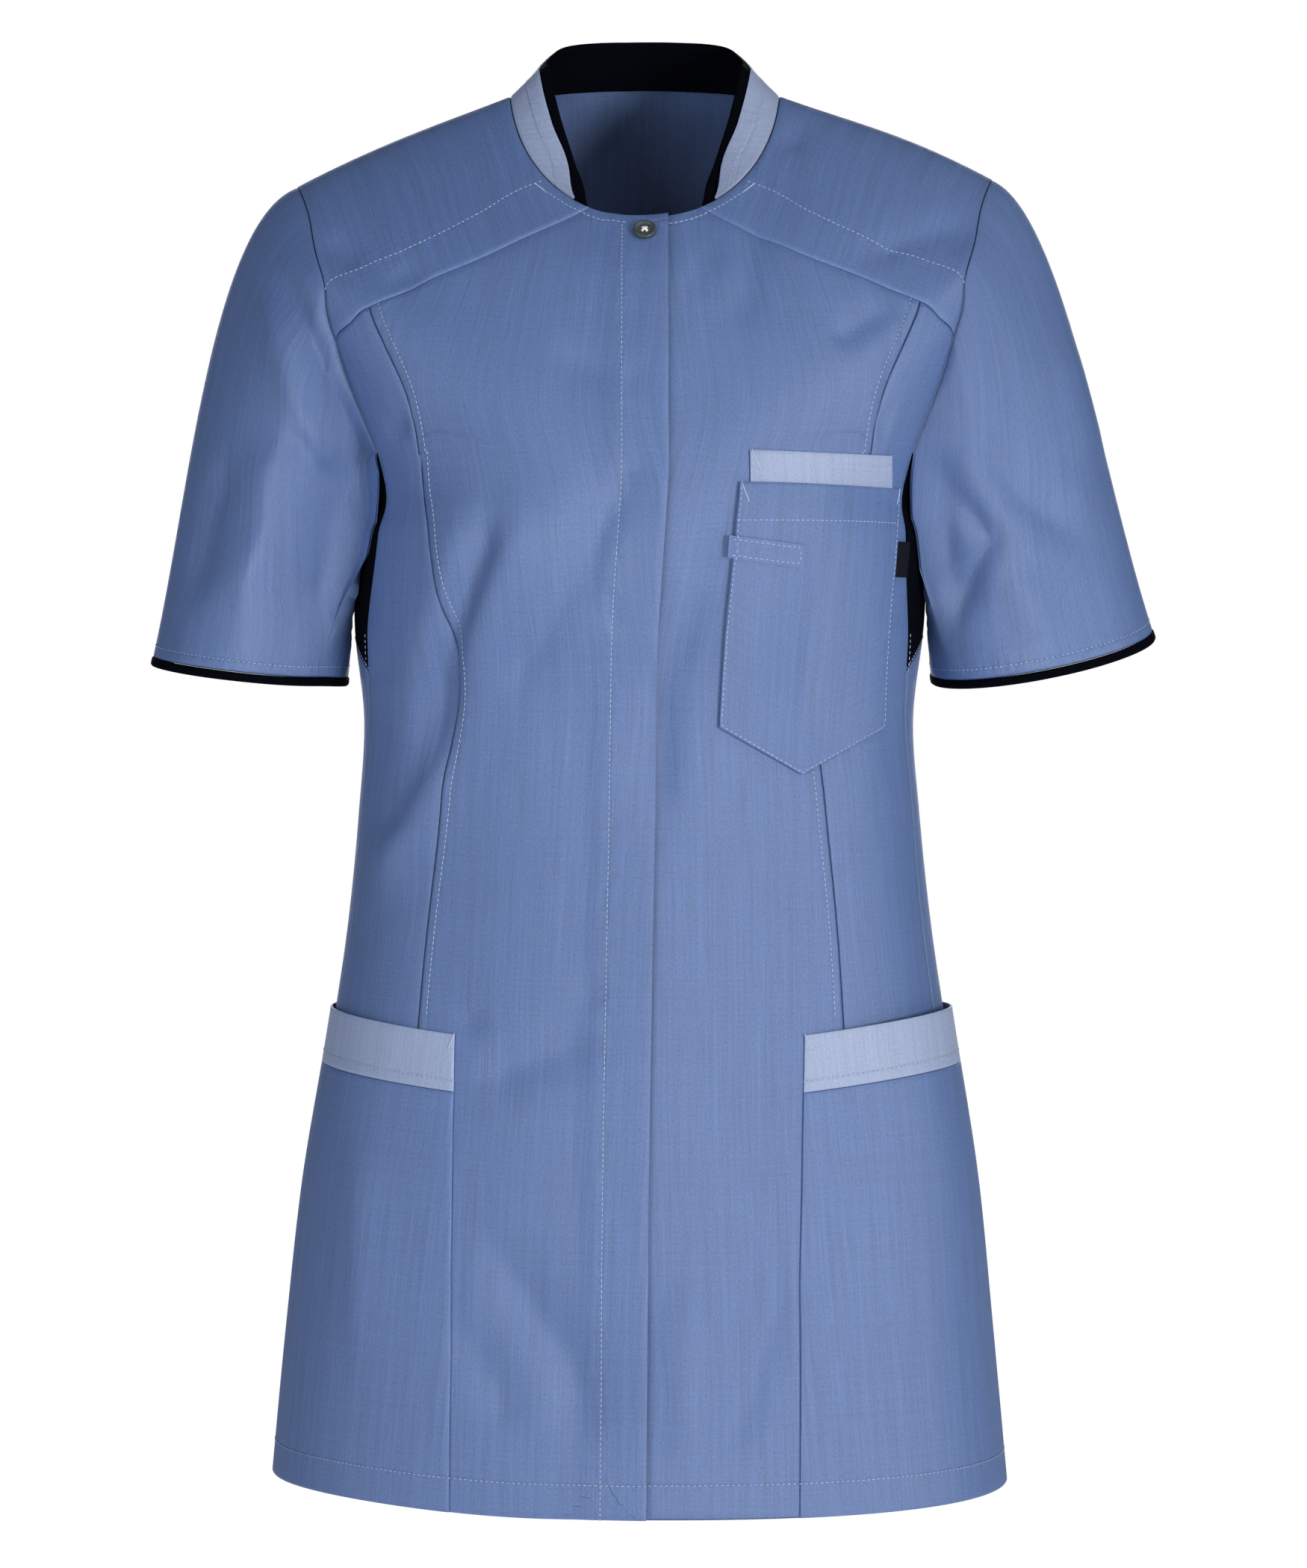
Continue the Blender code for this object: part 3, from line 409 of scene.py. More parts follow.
def crease_depth(x, z, creases):
    """How far out of the cloth the creases push the points at x, z."""
    total = np.zeros(np.shape(x))
    for crease in creases:
        places = np.array(crease.places, float)
        nearest, along = np.full(np.shape(x), np.inf), np.zeros(np.shape(x))
        last = len(places) - 1
        for k in range(last):
            run = places[k + 1] - places[k]
            share = ((x - places[k][0]) * run[0] + (z - places[k][1]) * run[1]) / run.dot(run)
            share = np.clip(share, 0, 1)
            gap = np.hypot(x - places[k][0] - share * run[0], z - places[k][1] - share * run[1])
            along = np.where(gap < nearest, (k + share) / last, along)
            nearest = np.minimum(nearest, gap)
        rise = smooth(along / CREASE_FADE) * smooth((1 - along) / CREASE_FADE)
        bell = np.exp(-((nearest / crease.width) ** CREASE_SHARP))
        total += crease.depth * mix(CREASE_END, 1.0, rise) * bell
    return total


def trunk(turn, up, out):
    """Points of the worn trunk, moved out of its outer face by out."""
    turn, up = np.asarray(turn, float), np.asarray(up, float)
    point = straight(turn, up)
    x, y, z = point[..., 0], point[..., 1], point[..., 2]
    bust_x, bust_z, bust_wide, bust_high, bust_deep = BUST
    bust = bust_deep * np.exp(-(((np.abs(x) - bust_x) / bust_wide) ** 2) - ((z - bust_z) / bust_high) ** 2)
    push = ramp(-y, *FACING) * (crease_depth(x, z, FRONT_CREASES) + bust)
    push = push + ramp(y, *FACING) * crease_depth(x, z, BACK_CREASES)
    point = point + straight_normal(turn, up) * (push + out)[..., None]
    x, y, z = point[..., 0], point[..., 1], point[..., 2]
    for (height, across, along), way in ((SHOULDER_LIFT, 1), (HEM_LIFT, -1)):
        z = z + height * ramp(way * x, *across) * ramp(way * z, *along)
    ring = ring_at(up)
    twist = np.radians(ring.twist)
    turned = x * np.cos(twist) - y * np.sin(twist) + ring.shift, x * np.sin(twist) + y * np.cos(twist), z
    return np.stack(turned, -1)


print("centre front at the hem, in mm:", trunk(0.0, HEM, 0.0).round(1))

# %% [markdown]
# ## Seam lines
#
# A seam is a row of (turn, up) places, the same for both pieces that it joins, so their edges meet. Each one
# is given as it is seen from the front (or from behind), as x and height, and `seen_at` finds its place on
# the surface by halving. Between four seams, a Coons patch fills in the piece.

# %% Tools for lines on the trunk
HALVINGS = 40


def turn_of_x(x, up):
    ring = ring_at(up)
    return np.degrees(np.arcsin(np.clip(np.abs(x) / ring.width, 0, 1) ** (ring.square / 2)))


def seen_at(x, z, behind=False):
    """(turn, up) of the trunk's points at x and height z, seen from the front or from behind."""
    x, z = np.asarray(x, float), np.asarray(z, float)
    low, high = np.full(z.shape, HEM), np.full(z.shape, NECK)
    for _ in range(HALVINGS):
        up = (low + high) / 2
        turn = turn_of_x(x, up)
        turn = 180 - turn if behind else turn
        below = straight(turn, up)[..., 2] < z
        low, high = np.where(below, up, low), np.where(below, high, up)
    return np.stack([turn, up], -1)


def line(places, count):
    """count + 1 (turn, up) places, evenly spaced along a smooth line through the given ones."""
    places = np.array(places, float)
    run = run_along(straight(places[:, 0], places[:, 1]))
    return through(run, places, np.linspace(0, run[-1], count + 1))


def seen_line(table, count, behind=False):
    return line([seen_at(x, z, behind) for x, z in table], count)


print("seen at x 100, height -300:", seen_at(100, -300).round(1), "(turn, up)")


# %% Tools for grids between lines
def joined(*chains):
    return np.vstack([chains[0]] + [chain[1:] for chain in chains[1:]])


def between(left, right, count):
    return np.linspace(left[0], right[0], count + 1)


def mirrored(places):
    return places * np.array([-1.0, 1.0])


def past_the_back(places):
    """The same places on the other side of the centre back."""
    return places * [-1, 1] + [360, 0]


def patch(left, right, bottom, top):
    """A grid of (turn, up) between four edges: left and right run upwards, bottom and top left to right."""
    s = np.linspace(0, 1, len(bottom))[None, :, None]
    t = np.linspace(0, 1, len(left))[:, None, None]
    corners = mix(mix(bottom[0], bottom[-1], s), mix(top[0], top[-1], s), t)
    return mix(left[:, None], right[:, None], s) + mix(bottom[None], top[None], t) - corners


def relaxed(places, rounds):
    """The grid with its inner places evened out between their neighbours."""
    places = places.copy()
    for _ in range(rounds):
        around = places[1:-1, :-2] + places[1:-1, 2:] + places[:-2, 1:-1] + places[2:, 1:-1]
        places[1:-1, 1:-1] = around / 4
    return places


RIM = 0.16  # where the added row at an edge lies, as a share of the way to the next row


def rimmed_rows(rows):
    """The rows with one more close to the first and to the last, so that the cloth's edge can be rounded."""
    first, last = mix(rows[:1], rows[1:2], RIM), mix(rows[-1:], rows[-2:-1], RIM)
    return np.concatenate([rows[:1], first, rows[1:-1], last, rows[-1:]])


def rimmed(places):
    """The same for the rows and the columns of a grid."""
    return rimmed_rows(rimmed_rows(places).swapaxes(0, 1)).swapaxes(0, 1)


def beside(places, away):
    """The line moved sideways on the trunk by away, to the left of its direction as seen from outside."""
    turn, up = places[:, 0], places[:, 1]
    across, along = directions(turn, up)
    run = np.gradient(straight(turn, up), axis=0)
    side = unit(np.cross(straight_normal(turn, up), run)) * away
    aa, bb, ab = (across * across).sum(1), (along * along).sum(1), (across * along).sum(1)
    sa, sb = (side * across).sum(1), (side * along).sum(1)
    flat = aa * bb - ab * ab
    return places + np.stack([(sa * bb - sb * ab) / flat, (sb * aa - sa * ab) / flat], 1)


# %% Tables of the seams
PRINCESS = [
    (137, -773), (128, -640), (118, -545), (111, -457), (103, -385), (96, -318), (105, -275), (119.5, -207)
]
PRINCESS_TOP = [(119.5, -207), (131, -163), (149, -122)]
YOKE_SEAM = [(62, -82.5), (92, -97), (116, -107), (135, -116), (149, -122)]
YOKE_END = [(149, -122), (159, -130), (167.5, -139)]
ARMHOLE_FRONT = [(145, -200), (152, -183), (160, -163), (167.5, -139)]
ARMHOLE_TOP_FRONT = [(167.5, -139), (174, -108), (183, -74)]
ARMHOLE_BACK = [(190, -58), (181, -90), (173, -125), (164, -160), (154, -188), (146, -203)]
SIDE_SEAM = [(71, -773), (74, -602), (75, -455), (74, -345), (71, -318), (63.5, -260), (62, -207)]
YOKE_AT_NECK, YOKE_BACK_TURN, SIDE_TURN = 30, 113, 90.0
GUSSET_FOOT, GUSSET_ARCH = -318, 18
FLY_HALF, FLY_END = 12.7, 24.0
ROWS_BELOW, ROWS_GUSSET, ROWS_ARMHOLE = 98, 24, 20
COLUMNS_YOKE, COLUMNS_YOKE_END, COLUMNS_SIDE, COLUMNS_NECK_BACK = 26, 10, 14, 28
ROWS_YOKE, ROWS_ARMHOLE_BACK = 36, 30
HEIGHTS = np.concatenate([
    np.linspace(HEM, GUSSET_FOOT, ROWS_BELOW + 1),
    np.linspace(GUSSET_FOOT, PRINCESS[-1][1], ROWS_GUSSET + 1)[1:],
])

print(len(HEIGHTS), "rows up to the armholes")


# %% The seams of one half
def upright(table, heights):
    """A seam that is given as (x, up) rows, at the heights."""
    return np.array([(turn_of_x(x, up), up) for x, up in zip(read_off(table, heights), heights)])


def make_seams():
    seams = {}
    back_end = seen_at(*ARMHOLE_BACK[0], behind=True)
    side = np.column_stack([read_off(SIDE_SEAM, HEIGHTS), HEIGHTS])
    side[-1] = seen_at(*ARMHOLE_FRONT[0])
    side_back = side * [-1, 1] + [180, 0]
    side_back[-1] = seen_at(*ARMHOLE_BACK[-1], behind=True)
    seams["side"], seams["side_back"] = side, side_back
    seams["princess"] = joined(upright(PRINCESS, HEIGHTS), seen_line(PRINCESS_TOP, ROWS_ARMHOLE))
    seams["armhole_front"] = seen_line(ARMHOLE_FRONT, ROWS_ARMHOLE)
    over = [seen_at(x, z) for x, z in ARMHOLE_TOP_FRONT] + [(SIDE_TURN, SHOULDER), back_end]
    seams["armhole_top"] = line(over, ROWS_YOKE)
    seams["armhole_back"] = seen_line(ARMHOLE_BACK, ROWS_ARMHOLE_BACK, behind=True)
    seams["underarm"] = line([side_back[-1], (SIDE_TURN, UNDERARM), side[-1]], COLUMNS_SIDE)
    neck_start = (turn_of_x(YOKE_AT_NECK, NECK), NECK)
    seams["yoke_front"] = line([neck_start] + [seen_at(x, z) for x, z in YOKE_SEAM], COLUMNS_YOKE)
    seams["yoke_end"] = seen_line(YOKE_END, COLUMNS_YOKE_END)
    neck_back = (YOKE_BACK_TURN, NECK)
    seams["yoke_back"] = line([neck_back, back_end], COLUMNS_YOKE + COLUMNS_YOKE_END)
    seams["neck_yoke"] = line([neck_start, (SIDE_TURN, NECK), neck_back], ROWS_YOKE)
    foot = np.linspace(side[ROWS_BELOW], side_back[ROWS_BELOW], COLUMNS_SIDE + 1)
    foot[:, 1] += GUSSET_ARCH * np.sin(np.linspace(0, math.pi, COLUMNS_SIDE + 1))
    seams["gusset_foot"] = foot
    return seams


seams = make_seams()
print({name: len(chain) for name, chain in seams.items()})

# %% [markdown]
# ## Cloth as a mesh
#
# Each piece is a closed shell: an outer grid, an inner grid one cloth thickness behind it, and strips round
# the rims. The outermost rows sit a little lower, which rounds the edge as a turned seam does. Three numbers
# ride on every point for the materials: the distance to the nearest sewn edge, to the nearest folded edge,
# and the signed distance to the nearest stitch line. They turn into the raised seam allowance, the needle's
# dent with painted shade in it, a line of painted shade along each seam, the pucker, and a light line along
# each folded edge that is partly wear and partly a painted highlight. The UV map holds metres across and
# along the grain.

# %% Distances to seams and stitch lines
WALL, TRIM_WALL, SEAM = 1.0, 0.9, 0.12
ROUND_EDGE = 0.35  # how far the outermost rows sink into the wall, as a share of it
FAR = 60.0  # a point with no seam or stitch line near it
PATH_POINTS = 90  # a longer path is thinned out before distances to it are taken
TINY = 1e-9  # keeps a path's doubled point from dividing by 0
EDGES = {"left": np.s_[:, 0], "right": np.s_[:, -1], "foot": np.s_[0], "top": np.s_[-1]}


def distance_to(points, path):
    """Distance from each point to a path of points."""
    keep = np.unique(np.linspace(0, len(path) - 1, min(len(path), PATH_POINTS)).astype(int))
    path = path[keep]
    nearest = np.full(len(points), np.inf)
    for a, b in zip(path, path[1:]):
        run = b - a
        share = np.clip((points - a) @ run / max(run @ run, TINY), 0, 1)
        nearest = np.minimum(nearest, np.linalg.norm(points - a - share[:, None] * run, axis=1))
    return nearest


def seam_numbers(outer, edges, folds, lines):
    """Each point's distance to the nearest seam, to the nearest fold, and past the nearest stitch line.

    lines holds more of them, as (path, inset): inset is None for a seam that lies inside the grid.
    """
    points = outer.reshape(-1, 3)
    numbers = {label: np.full(len(points), FAR) for label in ("seam", "fold", "stitch")}

    def note(label, past):
        """Keeps the number where it is the smallest yet."""
        numbers[label] = np.where(np.abs(past) < np.abs(numbers[label]), past, numbers[label])

    for edge, inset in edges.items():
        away = distance_to(points, outer[EDGES[edge]])
        note("fold" if edge in folds else "seam", away)
        if inset is not None:
            note("stitch", away - inset)
    for path, inset in lines:
        away = distance_to(points, path)
        if inset is None:
            note("seam", away)
        else:
            note("stitch", away - inset)
    return numbers


print("edges of a grid:", sorted(EDGES))

# %% Build a shell
SHARP = math.radians(60)  # edges that turn further than this stay sharp
PIECES = {}


def grain(outer, ring):
    """Metres across and along the grid, as UV columns. With ring, there is one more column than points."""
    points = np.concatenate([outer, outer[:, :1]], 1) if ring else outer
    u, v = run_along(points.swapaxes(0, 1)).T, run_along(points)
    return np.stack([u - u[:, u.shape[1] // 2, None], v], -1) * MM


def add_shell(name, outer, inner, finish, edges, folds=(), lines=(), ring=False):
    """A wall between two grids of points, as an object with its own UV map and seam numbers."""
    uv = grain(outer, ring)
    sunk = outer.copy()
    for rim in (EDGES["foot"], EDGES["top"]) if ring else EDGES.values():
        sunk[rim] = outer[rim] + (inner[rim] - outer[rim]) * ROUND_EDGE
    rows, columns = outer.shape[:2]
    count = rows * columns
    spans = columns if ring else columns - 1
    i, j = np.meshgrid(np.arange(rows - 1), np.arange(spans), indexing="ij")
    corners = [(i, j), (i, j + 1), (i + 1, j + 1), (i + 1, j)]
    front = np.stack([a * columns + b % columns for a, b in corners], -1).reshape(-1, 4)
    uv_front = np.stack([uv[a, b] for a, b in corners], 2).reshape(-1, 4, 2)
    faces = [front, front[:, ::-1] + count]
    uvs = [uv_front, uv_front[:, ::-1]]
    rims = [[(a, b) for b in range(spans + 1)] for a in (0, rows - 1)]
    if not ring:
        rims += [[(a, b) for a in range(rows)] for b in (0, columns - 1)]
    for rim in rims:
        first, second = np.array(rim[:-1]), np.array(rim[1:])
        low = first[:, 0] * columns + first[:, 1] % columns
        high = second[:, 0] * columns + second[:, 1] % columns
        faces.append(np.stack([low, high, high + count, low + count], 1))
        start, end = uv[first[:, 0], first[:, 1]], uv[second[:, 0], second[:, 1]]
        uvs.append(np.stack([start, end, end, start], 1))
    vertices = np.vstack([sunk.reshape(-1, 3), inner.reshape(-1, 3)]) * MM
    mesh = new_mesh(name, vertices.tolist(), np.concatenate(faces).tolist())
    mesh.uv_layers.new(name="grain").data.foreach_set("uv", np.concatenate(uvs).reshape(-1).astype("float32"))
    for label, values in seam_numbers(outer, edges, folds, lines).items():
        layer = mesh.attributes.new(label, "FLOAT", "POINT")
        layer.data.foreach_set("value", np.concatenate([values, values]).astype("float32"))
    place_mesh(name, mesh, finish)


def place_mesh(name, mesh, finish):
    """Turns the mesh's faces outwards and puts it in the scene with its finish."""
    shell = bmesh.new()
    shell.from_mesh(mesh)
    bmesh.ops.recalc_face_normals(shell, faces=shell.faces)
    shell.to_mesh(mesh)
    shell.free()
    mesh.shade_smooth()
    mesh.set_sharp_from_angle(angle=SHARP)
    mesh.materials.append(finish)
    PIECES[name] = put(name + "_dressed", mesh)


print("cloth walls:", WALL, "and", TRIM_WALL, "mm")

# %% [markdown]
# ## Finishes
#
# Poplin is a plain weave with slubs: here and there a warp thread is a little thicker, which draws fine
# vertical streaks. One node group draws threads, slubs and the slight unevenness of worn cloth from the UV
# map, another draws the knit's ribs with painted shade in the grooves between them, and a third turns the
# seam numbers into height and into painted shade and painted highlight. Each cloth uses them with its own
# sizes. The tab at the pocket is a smooth satin.

# %% Start a node group
def new_group(name, inputs, outputs):
    """A shader node group with named inputs and outputs, given as (name, default) rows."""
    group = bpy.data.node_groups.new(name, "ShaderNodeTree")
    for label, default in inputs:
        kind = "NodeSocketVector" if isinstance(default, tuple) else "NodeSocketFloat"
        socket = group.interface.new_socket(label, in_out="INPUT", socket_type=kind)
        socket.default_value = default
    for label in outputs:
        group.interface.new_socket(label, in_out="OUTPUT", socket_type="NodeSocketFloat")
    return group, group.nodes.new("NodeGroupInput").outputs, group.nodes.new("NodeGroupOutput").inputs


# %% Weave: threads and slubs
SLUBS = [  # across, along (per metre), depth: warp streaks, then a weft streak and the grain
    (620.0, 11.0, 0.18),
    (1500.0, 38.0, 0.15),
    (260.0, 5.0, 0.10),
    (110.0, 3.0, 0.07),
    (9.0, 640.0, 0.08),
    (820.0, 640.0, 0.26),
]
SLUB_HEIGHT, THREAD_TINT, THREAD_HEIGHT = 0.05, 0.05, 0.04
UNEVEN, UNEVEN_HEIGHT = (26.0, 11.0, 1.0), 0.9  # per metre across and along, and millimetres
GRAIN_INPUT = ("Grain", (0.0, 0.0, 0.0))


def make_weave_group():
    given = [GRAIN_INPUT, ("Threads per metre", 1900.0), ("Slub", 1.0)]
    group, inputs, outputs = new_group("weave", given, ["Tint", "Height"])
    apart = add_node(group, "ShaderNodeSeparateXYZ", {0: inputs["Grain"]}).outputs
    tint, height = 1.0, 0.0
    for across, along, depth in SLUBS:
        x = maths(group, "MULTIPLY", apart["X"], across)
        y = maths(group, "MULTIPLY", apart["Y"], along)
        noise = add_noise(group, result(group, "ShaderNodeCombineXYZ", {0: x, 1: y, 2: across}), 1.0, 1.0)
        swing = maths(group, "SUBTRACT", noise, 0.5)
        shade = maths(group, "MULTIPLY", swing, maths(group, "MULTIPLY", inputs["Slub"], depth))
        tint = maths(group, "ADD", shade, tint)
        height = maths(group, "MULTIPLY_ADD", swing, SLUB_HEIGHT, height)
    noise = add_noise(group, times(group, inputs["Grain"], UNEVEN), 1.0, 1.5)
    height = maths(group, "MULTIPLY_ADD", noise, UNEVEN_HEIGHT, height)
    turns = maths(group, "MULTIPLY", inputs["Threads per metre"], 2 * math.pi)
    x, y = (maths(group, "SINE", maths(group, "MULTIPLY", apart[axis], turns)) for axis in "XY")
    threads = maths(group, "MULTIPLY", x, y)
    group.links.new(maths(group, "MULTIPLY_ADD", threads, THREAD_TINT, tint), outputs["Tint"])
    group.links.new(maths(group, "MULTIPLY_ADD", threads, THREAD_HEIGHT, height), outputs["Height"])
    return group


PATTERNS = {"weave": make_weave_group()}
print("weave", len(PATTERNS["weave"].nodes), "nodes")

# %% Knit: ribs of little loops
RIB_BEND, LOOP_HEIGHT, KNIT_HEIGHT = 2.2, 0.25, 0.22
FUZZ, RIB_SHADE_RISE, KNIT_TINT = 420.0, 0.7, 0.5  # fibres per metre, then painted shade: the tint's rise on a rib above its least, darker in the grooves


def make_knit_group():
    given = [GRAIN_INPUT, ("Threads per metre", 900.0), ("Slub", 1.0)]
    group, inputs, outputs = new_group("knit", given, ["Tint", "Height"])
    apart = add_node(group, "ShaderNodeSeparateXYZ", {0: inputs["Grain"]}).outputs
    turns = maths(group, "MULTIPLY", inputs["Threads per metre"], 2 * math.pi)
    across = maths(group, "MULTIPLY", apart["X"], turns)
    rib = maths(group, "ABSOLUTE", maths(group, "SINE", maths(group, "MULTIPLY", across, 0.5)))
    bent = maths(group, "MULTIPLY_ADD", rib, RIB_BEND, maths(group, "MULTIPLY", apart["Y"], turns))
    height = maths(group, "ADD", rib, maths(group, "MULTIPLY", maths(group, "SINE", bent), LOOP_HEIGHT))
    swing = maths(group, "SUBTRACT", add_noise(group, inputs["Grain"], FUZZ, 2.0), 0.5)
    fuzz = maths(group, "MULTIPLY", swing, inputs["Slub"])
    # Painted shade: the knit is darker in the grooves between its ribs and lighter on their tops
    tint = maths(group, "MULTIPLY_ADD", height, RIB_SHADE_RISE, KNIT_TINT)
    group.links.new(maths(group, "ADD", tint, fuzz), outputs["Tint"])
    group.links.new(maths(group, "MULTIPLY", height, KNIT_HEIGHT), outputs["Height"])
    return group


PATTERNS["knit"] = make_knit_group()
print("knit", len(PATTERNS["knit"].nodes), "nodes")

# %% Seams: raised allowance, needle dent, pucker, painted shade and painted highlight
# How fast each falls off, per millimetre, then its height in millimetres and its painted shade
DENT_FALL, DENT_HEIGHT, DENT_SHADE = 1.3, -0.16, -0.08
CRACK_FALL, CRACK_HEIGHT, CRACK_SHADE = -2.5, -0.4, -0.30
# The first number below is how fast the light line along a folded edge falls off: partly wear, partly a
# painted highlight
WEAR_AND_HIGHLIGHT_FALL, PUCKER_FALL, PUCKER_HEIGHT, PUCKERS = -1.6, 0.22, 3.0, (150.0, 150.0, 0.0)
ALLOWANCE_INSIDE, ALLOWANCE_EDGE = (-1.1, 0.6), 1.4


def make_seam_group():
    given = [GRAIN_INPUT, ("Allowance", 0.35), ("Pucker", 0.28), ("Fold light", 0.3)]
    group, inputs, outputs = new_group("seam_relief", given, ["Height", "Shade"])

    def falling(value, factor):
        return maths(group, "EXPONENT", maths(group, "MULTIPLY", value, factor))

    def bell(value, scale):
        scaled = maths(group, "MULTIPLY", value, scale)
        return falling(maths(group, "MULTIPLY", scaled, scaled), -1.0)

    seam, fold, stitch = (
        add_node(group, "ShaderNodeAttribute", attribute_name=label).outputs["Fac"]
        for label in ("seam", "fold", "stitch")
    )
    inside = maths(group, "MULTIPLY_ADD", stitch, *ALLOWANCE_INSIDE, clamp=True)
    edge = maths(group, "MULTIPLY", seam, ALLOWANCE_EDGE, clamp=True)
    height = maths(group, "MULTIPLY", maths(group, "MULTIPLY", inside, edge), inputs["Allowance"])
    noise = add_noise(group, times(group, inputs["Grain"], PUCKERS), 1.0, 1.5)
    near = maths(group, "MULTIPLY", bell(stitch, PUCKER_FALL), PUCKER_HEIGHT)
    pucker = maths(group, "MULTIPLY", maths(group, "SUBTRACT", noise, 0.5), near)
    dent, crack, wear_and_highlight = bell(stitch, DENT_FALL), falling(seam, CRACK_FALL), falling(fold, WEAR_AND_HIGHLIGHT_FALL)
    height = maths(group, "MULTIPLY_ADD", pucker, inputs["Pucker"], height)
    height = maths(group, "MULTIPLY_ADD", dent, DENT_HEIGHT, height)
    height = maths(group, "MULTIPLY_ADD", crack, CRACK_HEIGHT, height)
    # Painted shade: the cloth is darkened along each sewn seam, where its crack lies
    shade = maths(group, "MULTIPLY_ADD", crack, CRACK_SHADE, 1.0)
    # Lighter along each folded edge: partly wear, partly a painted highlight
    shade = maths(group, "MULTIPLY_ADD", wear_and_highlight, inputs["Fold light"], shade)
    # Painted shade in the needle's dent along each stitch line
    shade = maths(group, "MULTIPLY_ADD", dent, DENT_SHADE, shade)
    group.links.new(height, outputs["Height"])
    group.links.new(shade, outputs["Shade"])
    return group


SEAM_RELIEF = make_seam_group()
print(SEAM_RELIEF.name, len(SEAM_RELIEF.nodes), "nodes")

# %% The cloths
Cloth = namedtuple("Cloth", "name pattern colour threads slub allowance pucker fold_light roughness ior")
CLOTHS = [
    Cloth("blue_poplin", "weave", (0.080, 0.146, 0.350), 1900, 2.1, 0.35, 0.32, 0.15, 0.50, 1.75),
    Cloth("pale_chambray", "weave", (0.280, 0.340, 0.530), 1500, 1.3, 0.30, 0.30, 0.15, 0.55, 1.70),
    Cloth("navy_knit", "knit", (0.0010, 0.0014, 0.0040), 800, 0.5, 0.30, 0.15, 0.00, 0.85, 1.12),
    Cloth("black_satin", "weave", (0.0030, 0.0034, 0.0060), 2600, 0.4, 0.10, 0.05, 0.00, 0.60, 1.22),
]


def make_cloth(cloth):
    def looks(tree):
        uv = add_node(tree, "ShaderNodeUVMap", uv_map="grain").outputs["UV"]
        sizes = {"Grain": uv, "Threads per metre": cloth.threads, "Slub": cloth.slub}
        weave = add_node(tree, "ShaderNodeGroup", sizes, node_tree=PATTERNS[cloth.pattern]).outputs
        sizes = {"Allowance": cloth.allowance, "Pucker": cloth.pucker, "Fold light": cloth.fold_light}
        relief = add_node(tree, "ShaderNodeGroup", {"Grain": uv} | sizes, node_tree=SEAM_RELIEF).outputs
        tint = maths(tree, "MULTIPLY", weave["Tint"], relief["Shade"])
        height = maths(tree, "ADD", weave["Height"], relief["Height"])
        bump = result(tree, "ShaderNodeBump", {"Height": height, "Distance": MM, "Strength": 1.0})
        colour = times(tree, cloth.colour, tint)
        return {"Base Color": colour, "Normal": bump, "Roughness": cloth.roughness, "IOR": cloth.ior}

    return new_material(cloth.name, looks)


BLUE, PALE, NAVY, SATIN = [make_cloth(cloth) for cloth in CLOTHS]
print([cloth.name for cloth in CLOTHS])

# %% [markdown]
# ## The panels
#
# Fronts, side fronts, side panels, gussets, yokes and the back are patches between the seams. The lines of
# topstitching are the seams moved sideways: 5 mm from the princess seams, 6.5 mm below the neckline, 18.5 mm
# above the hem. Each of them is also kept in a list, so that the thread can be laid on it later.

# %% Make a panel and remember its stitches
THREAD_LIFT = 0.15  # the thread's middle above the cloth
STITCH_LINES, TACK_LINES = [], []
HALVES = ("left", np.asarray), ("right", mirrored)


def sewn_edges(names, **insets):
    """The named edges are only sewn, and the others have stitches at the given distance inside them."""
    return dict.fromkeys(names.split()) | insets


def drawn_back(grid, amount):
    """The grid with its outer rows moved inwards, so that a thin gap stays at each seam."""
    grid = grid.copy()
    pairs = [(grid[0], grid[1]), (grid[-1], grid[-2]), (grid[:, 0], grid[:, 1]), (grid[:, -1], grid[:, -2])]
    for edge, inner in pairs:
        edge += unit(inner - edge) * amount
    return grid


def on_trunk(places, out=0.0):
    return trunk(places[..., 0], places[..., 1], out + 0 * places[..., 0])


def add_panel(name, places, finish, edges, folds=(), out=0.0, wall=WALL, lines=()):
    """A cut piece of the trunk. edges are as for sewn_edges, and folds are those that are folded."""
    out = np.broadcast_to(out, places.shape[:2])[..., None]
    places = rimmed(np.concatenate([places, out], -1))
    outer, inner = (drawn_back(on_trunk(places, places[..., 2] - depth), SEAM) for depth in (0, wall))
    add_shell(name, outer, inner, finish, edges, folds, lines)


def stitch_along(places, out=0.0):
    """Keeps a line of (turn, up) places for the thread."""
    STITCH_LINES.append(on_trunk(places, out + THREAD_LIFT))


print("thread", THREAD_LIFT, "mm above the cloth")

# %% Fronts with the fly
PRINCESS_STITCH, NECK_STITCH, HEM_STITCH = 5.0, 6.5, 18.5
FLY_LIFT, FLY_TILT = WALL + 0.5, 2.0  # the folded edge stands off further than the stitched one
FLY_COLUMNS, FLY_STITCH, FLY_FADE, NECK_COLUMNS = 10, 12.2, 8, 3


def fly_lift(away):
    """How far the lapped right front stands off, at a distance from the centre towards its own side."""
    tilted = FLY_TILT * np.clip((FLY_STITCH - away) / (FLY_STITCH + FLY_HALF), 0, 1)
    return FLY_LIFT * smooth((FLY_END - away) / FLY_FADE) + tilted


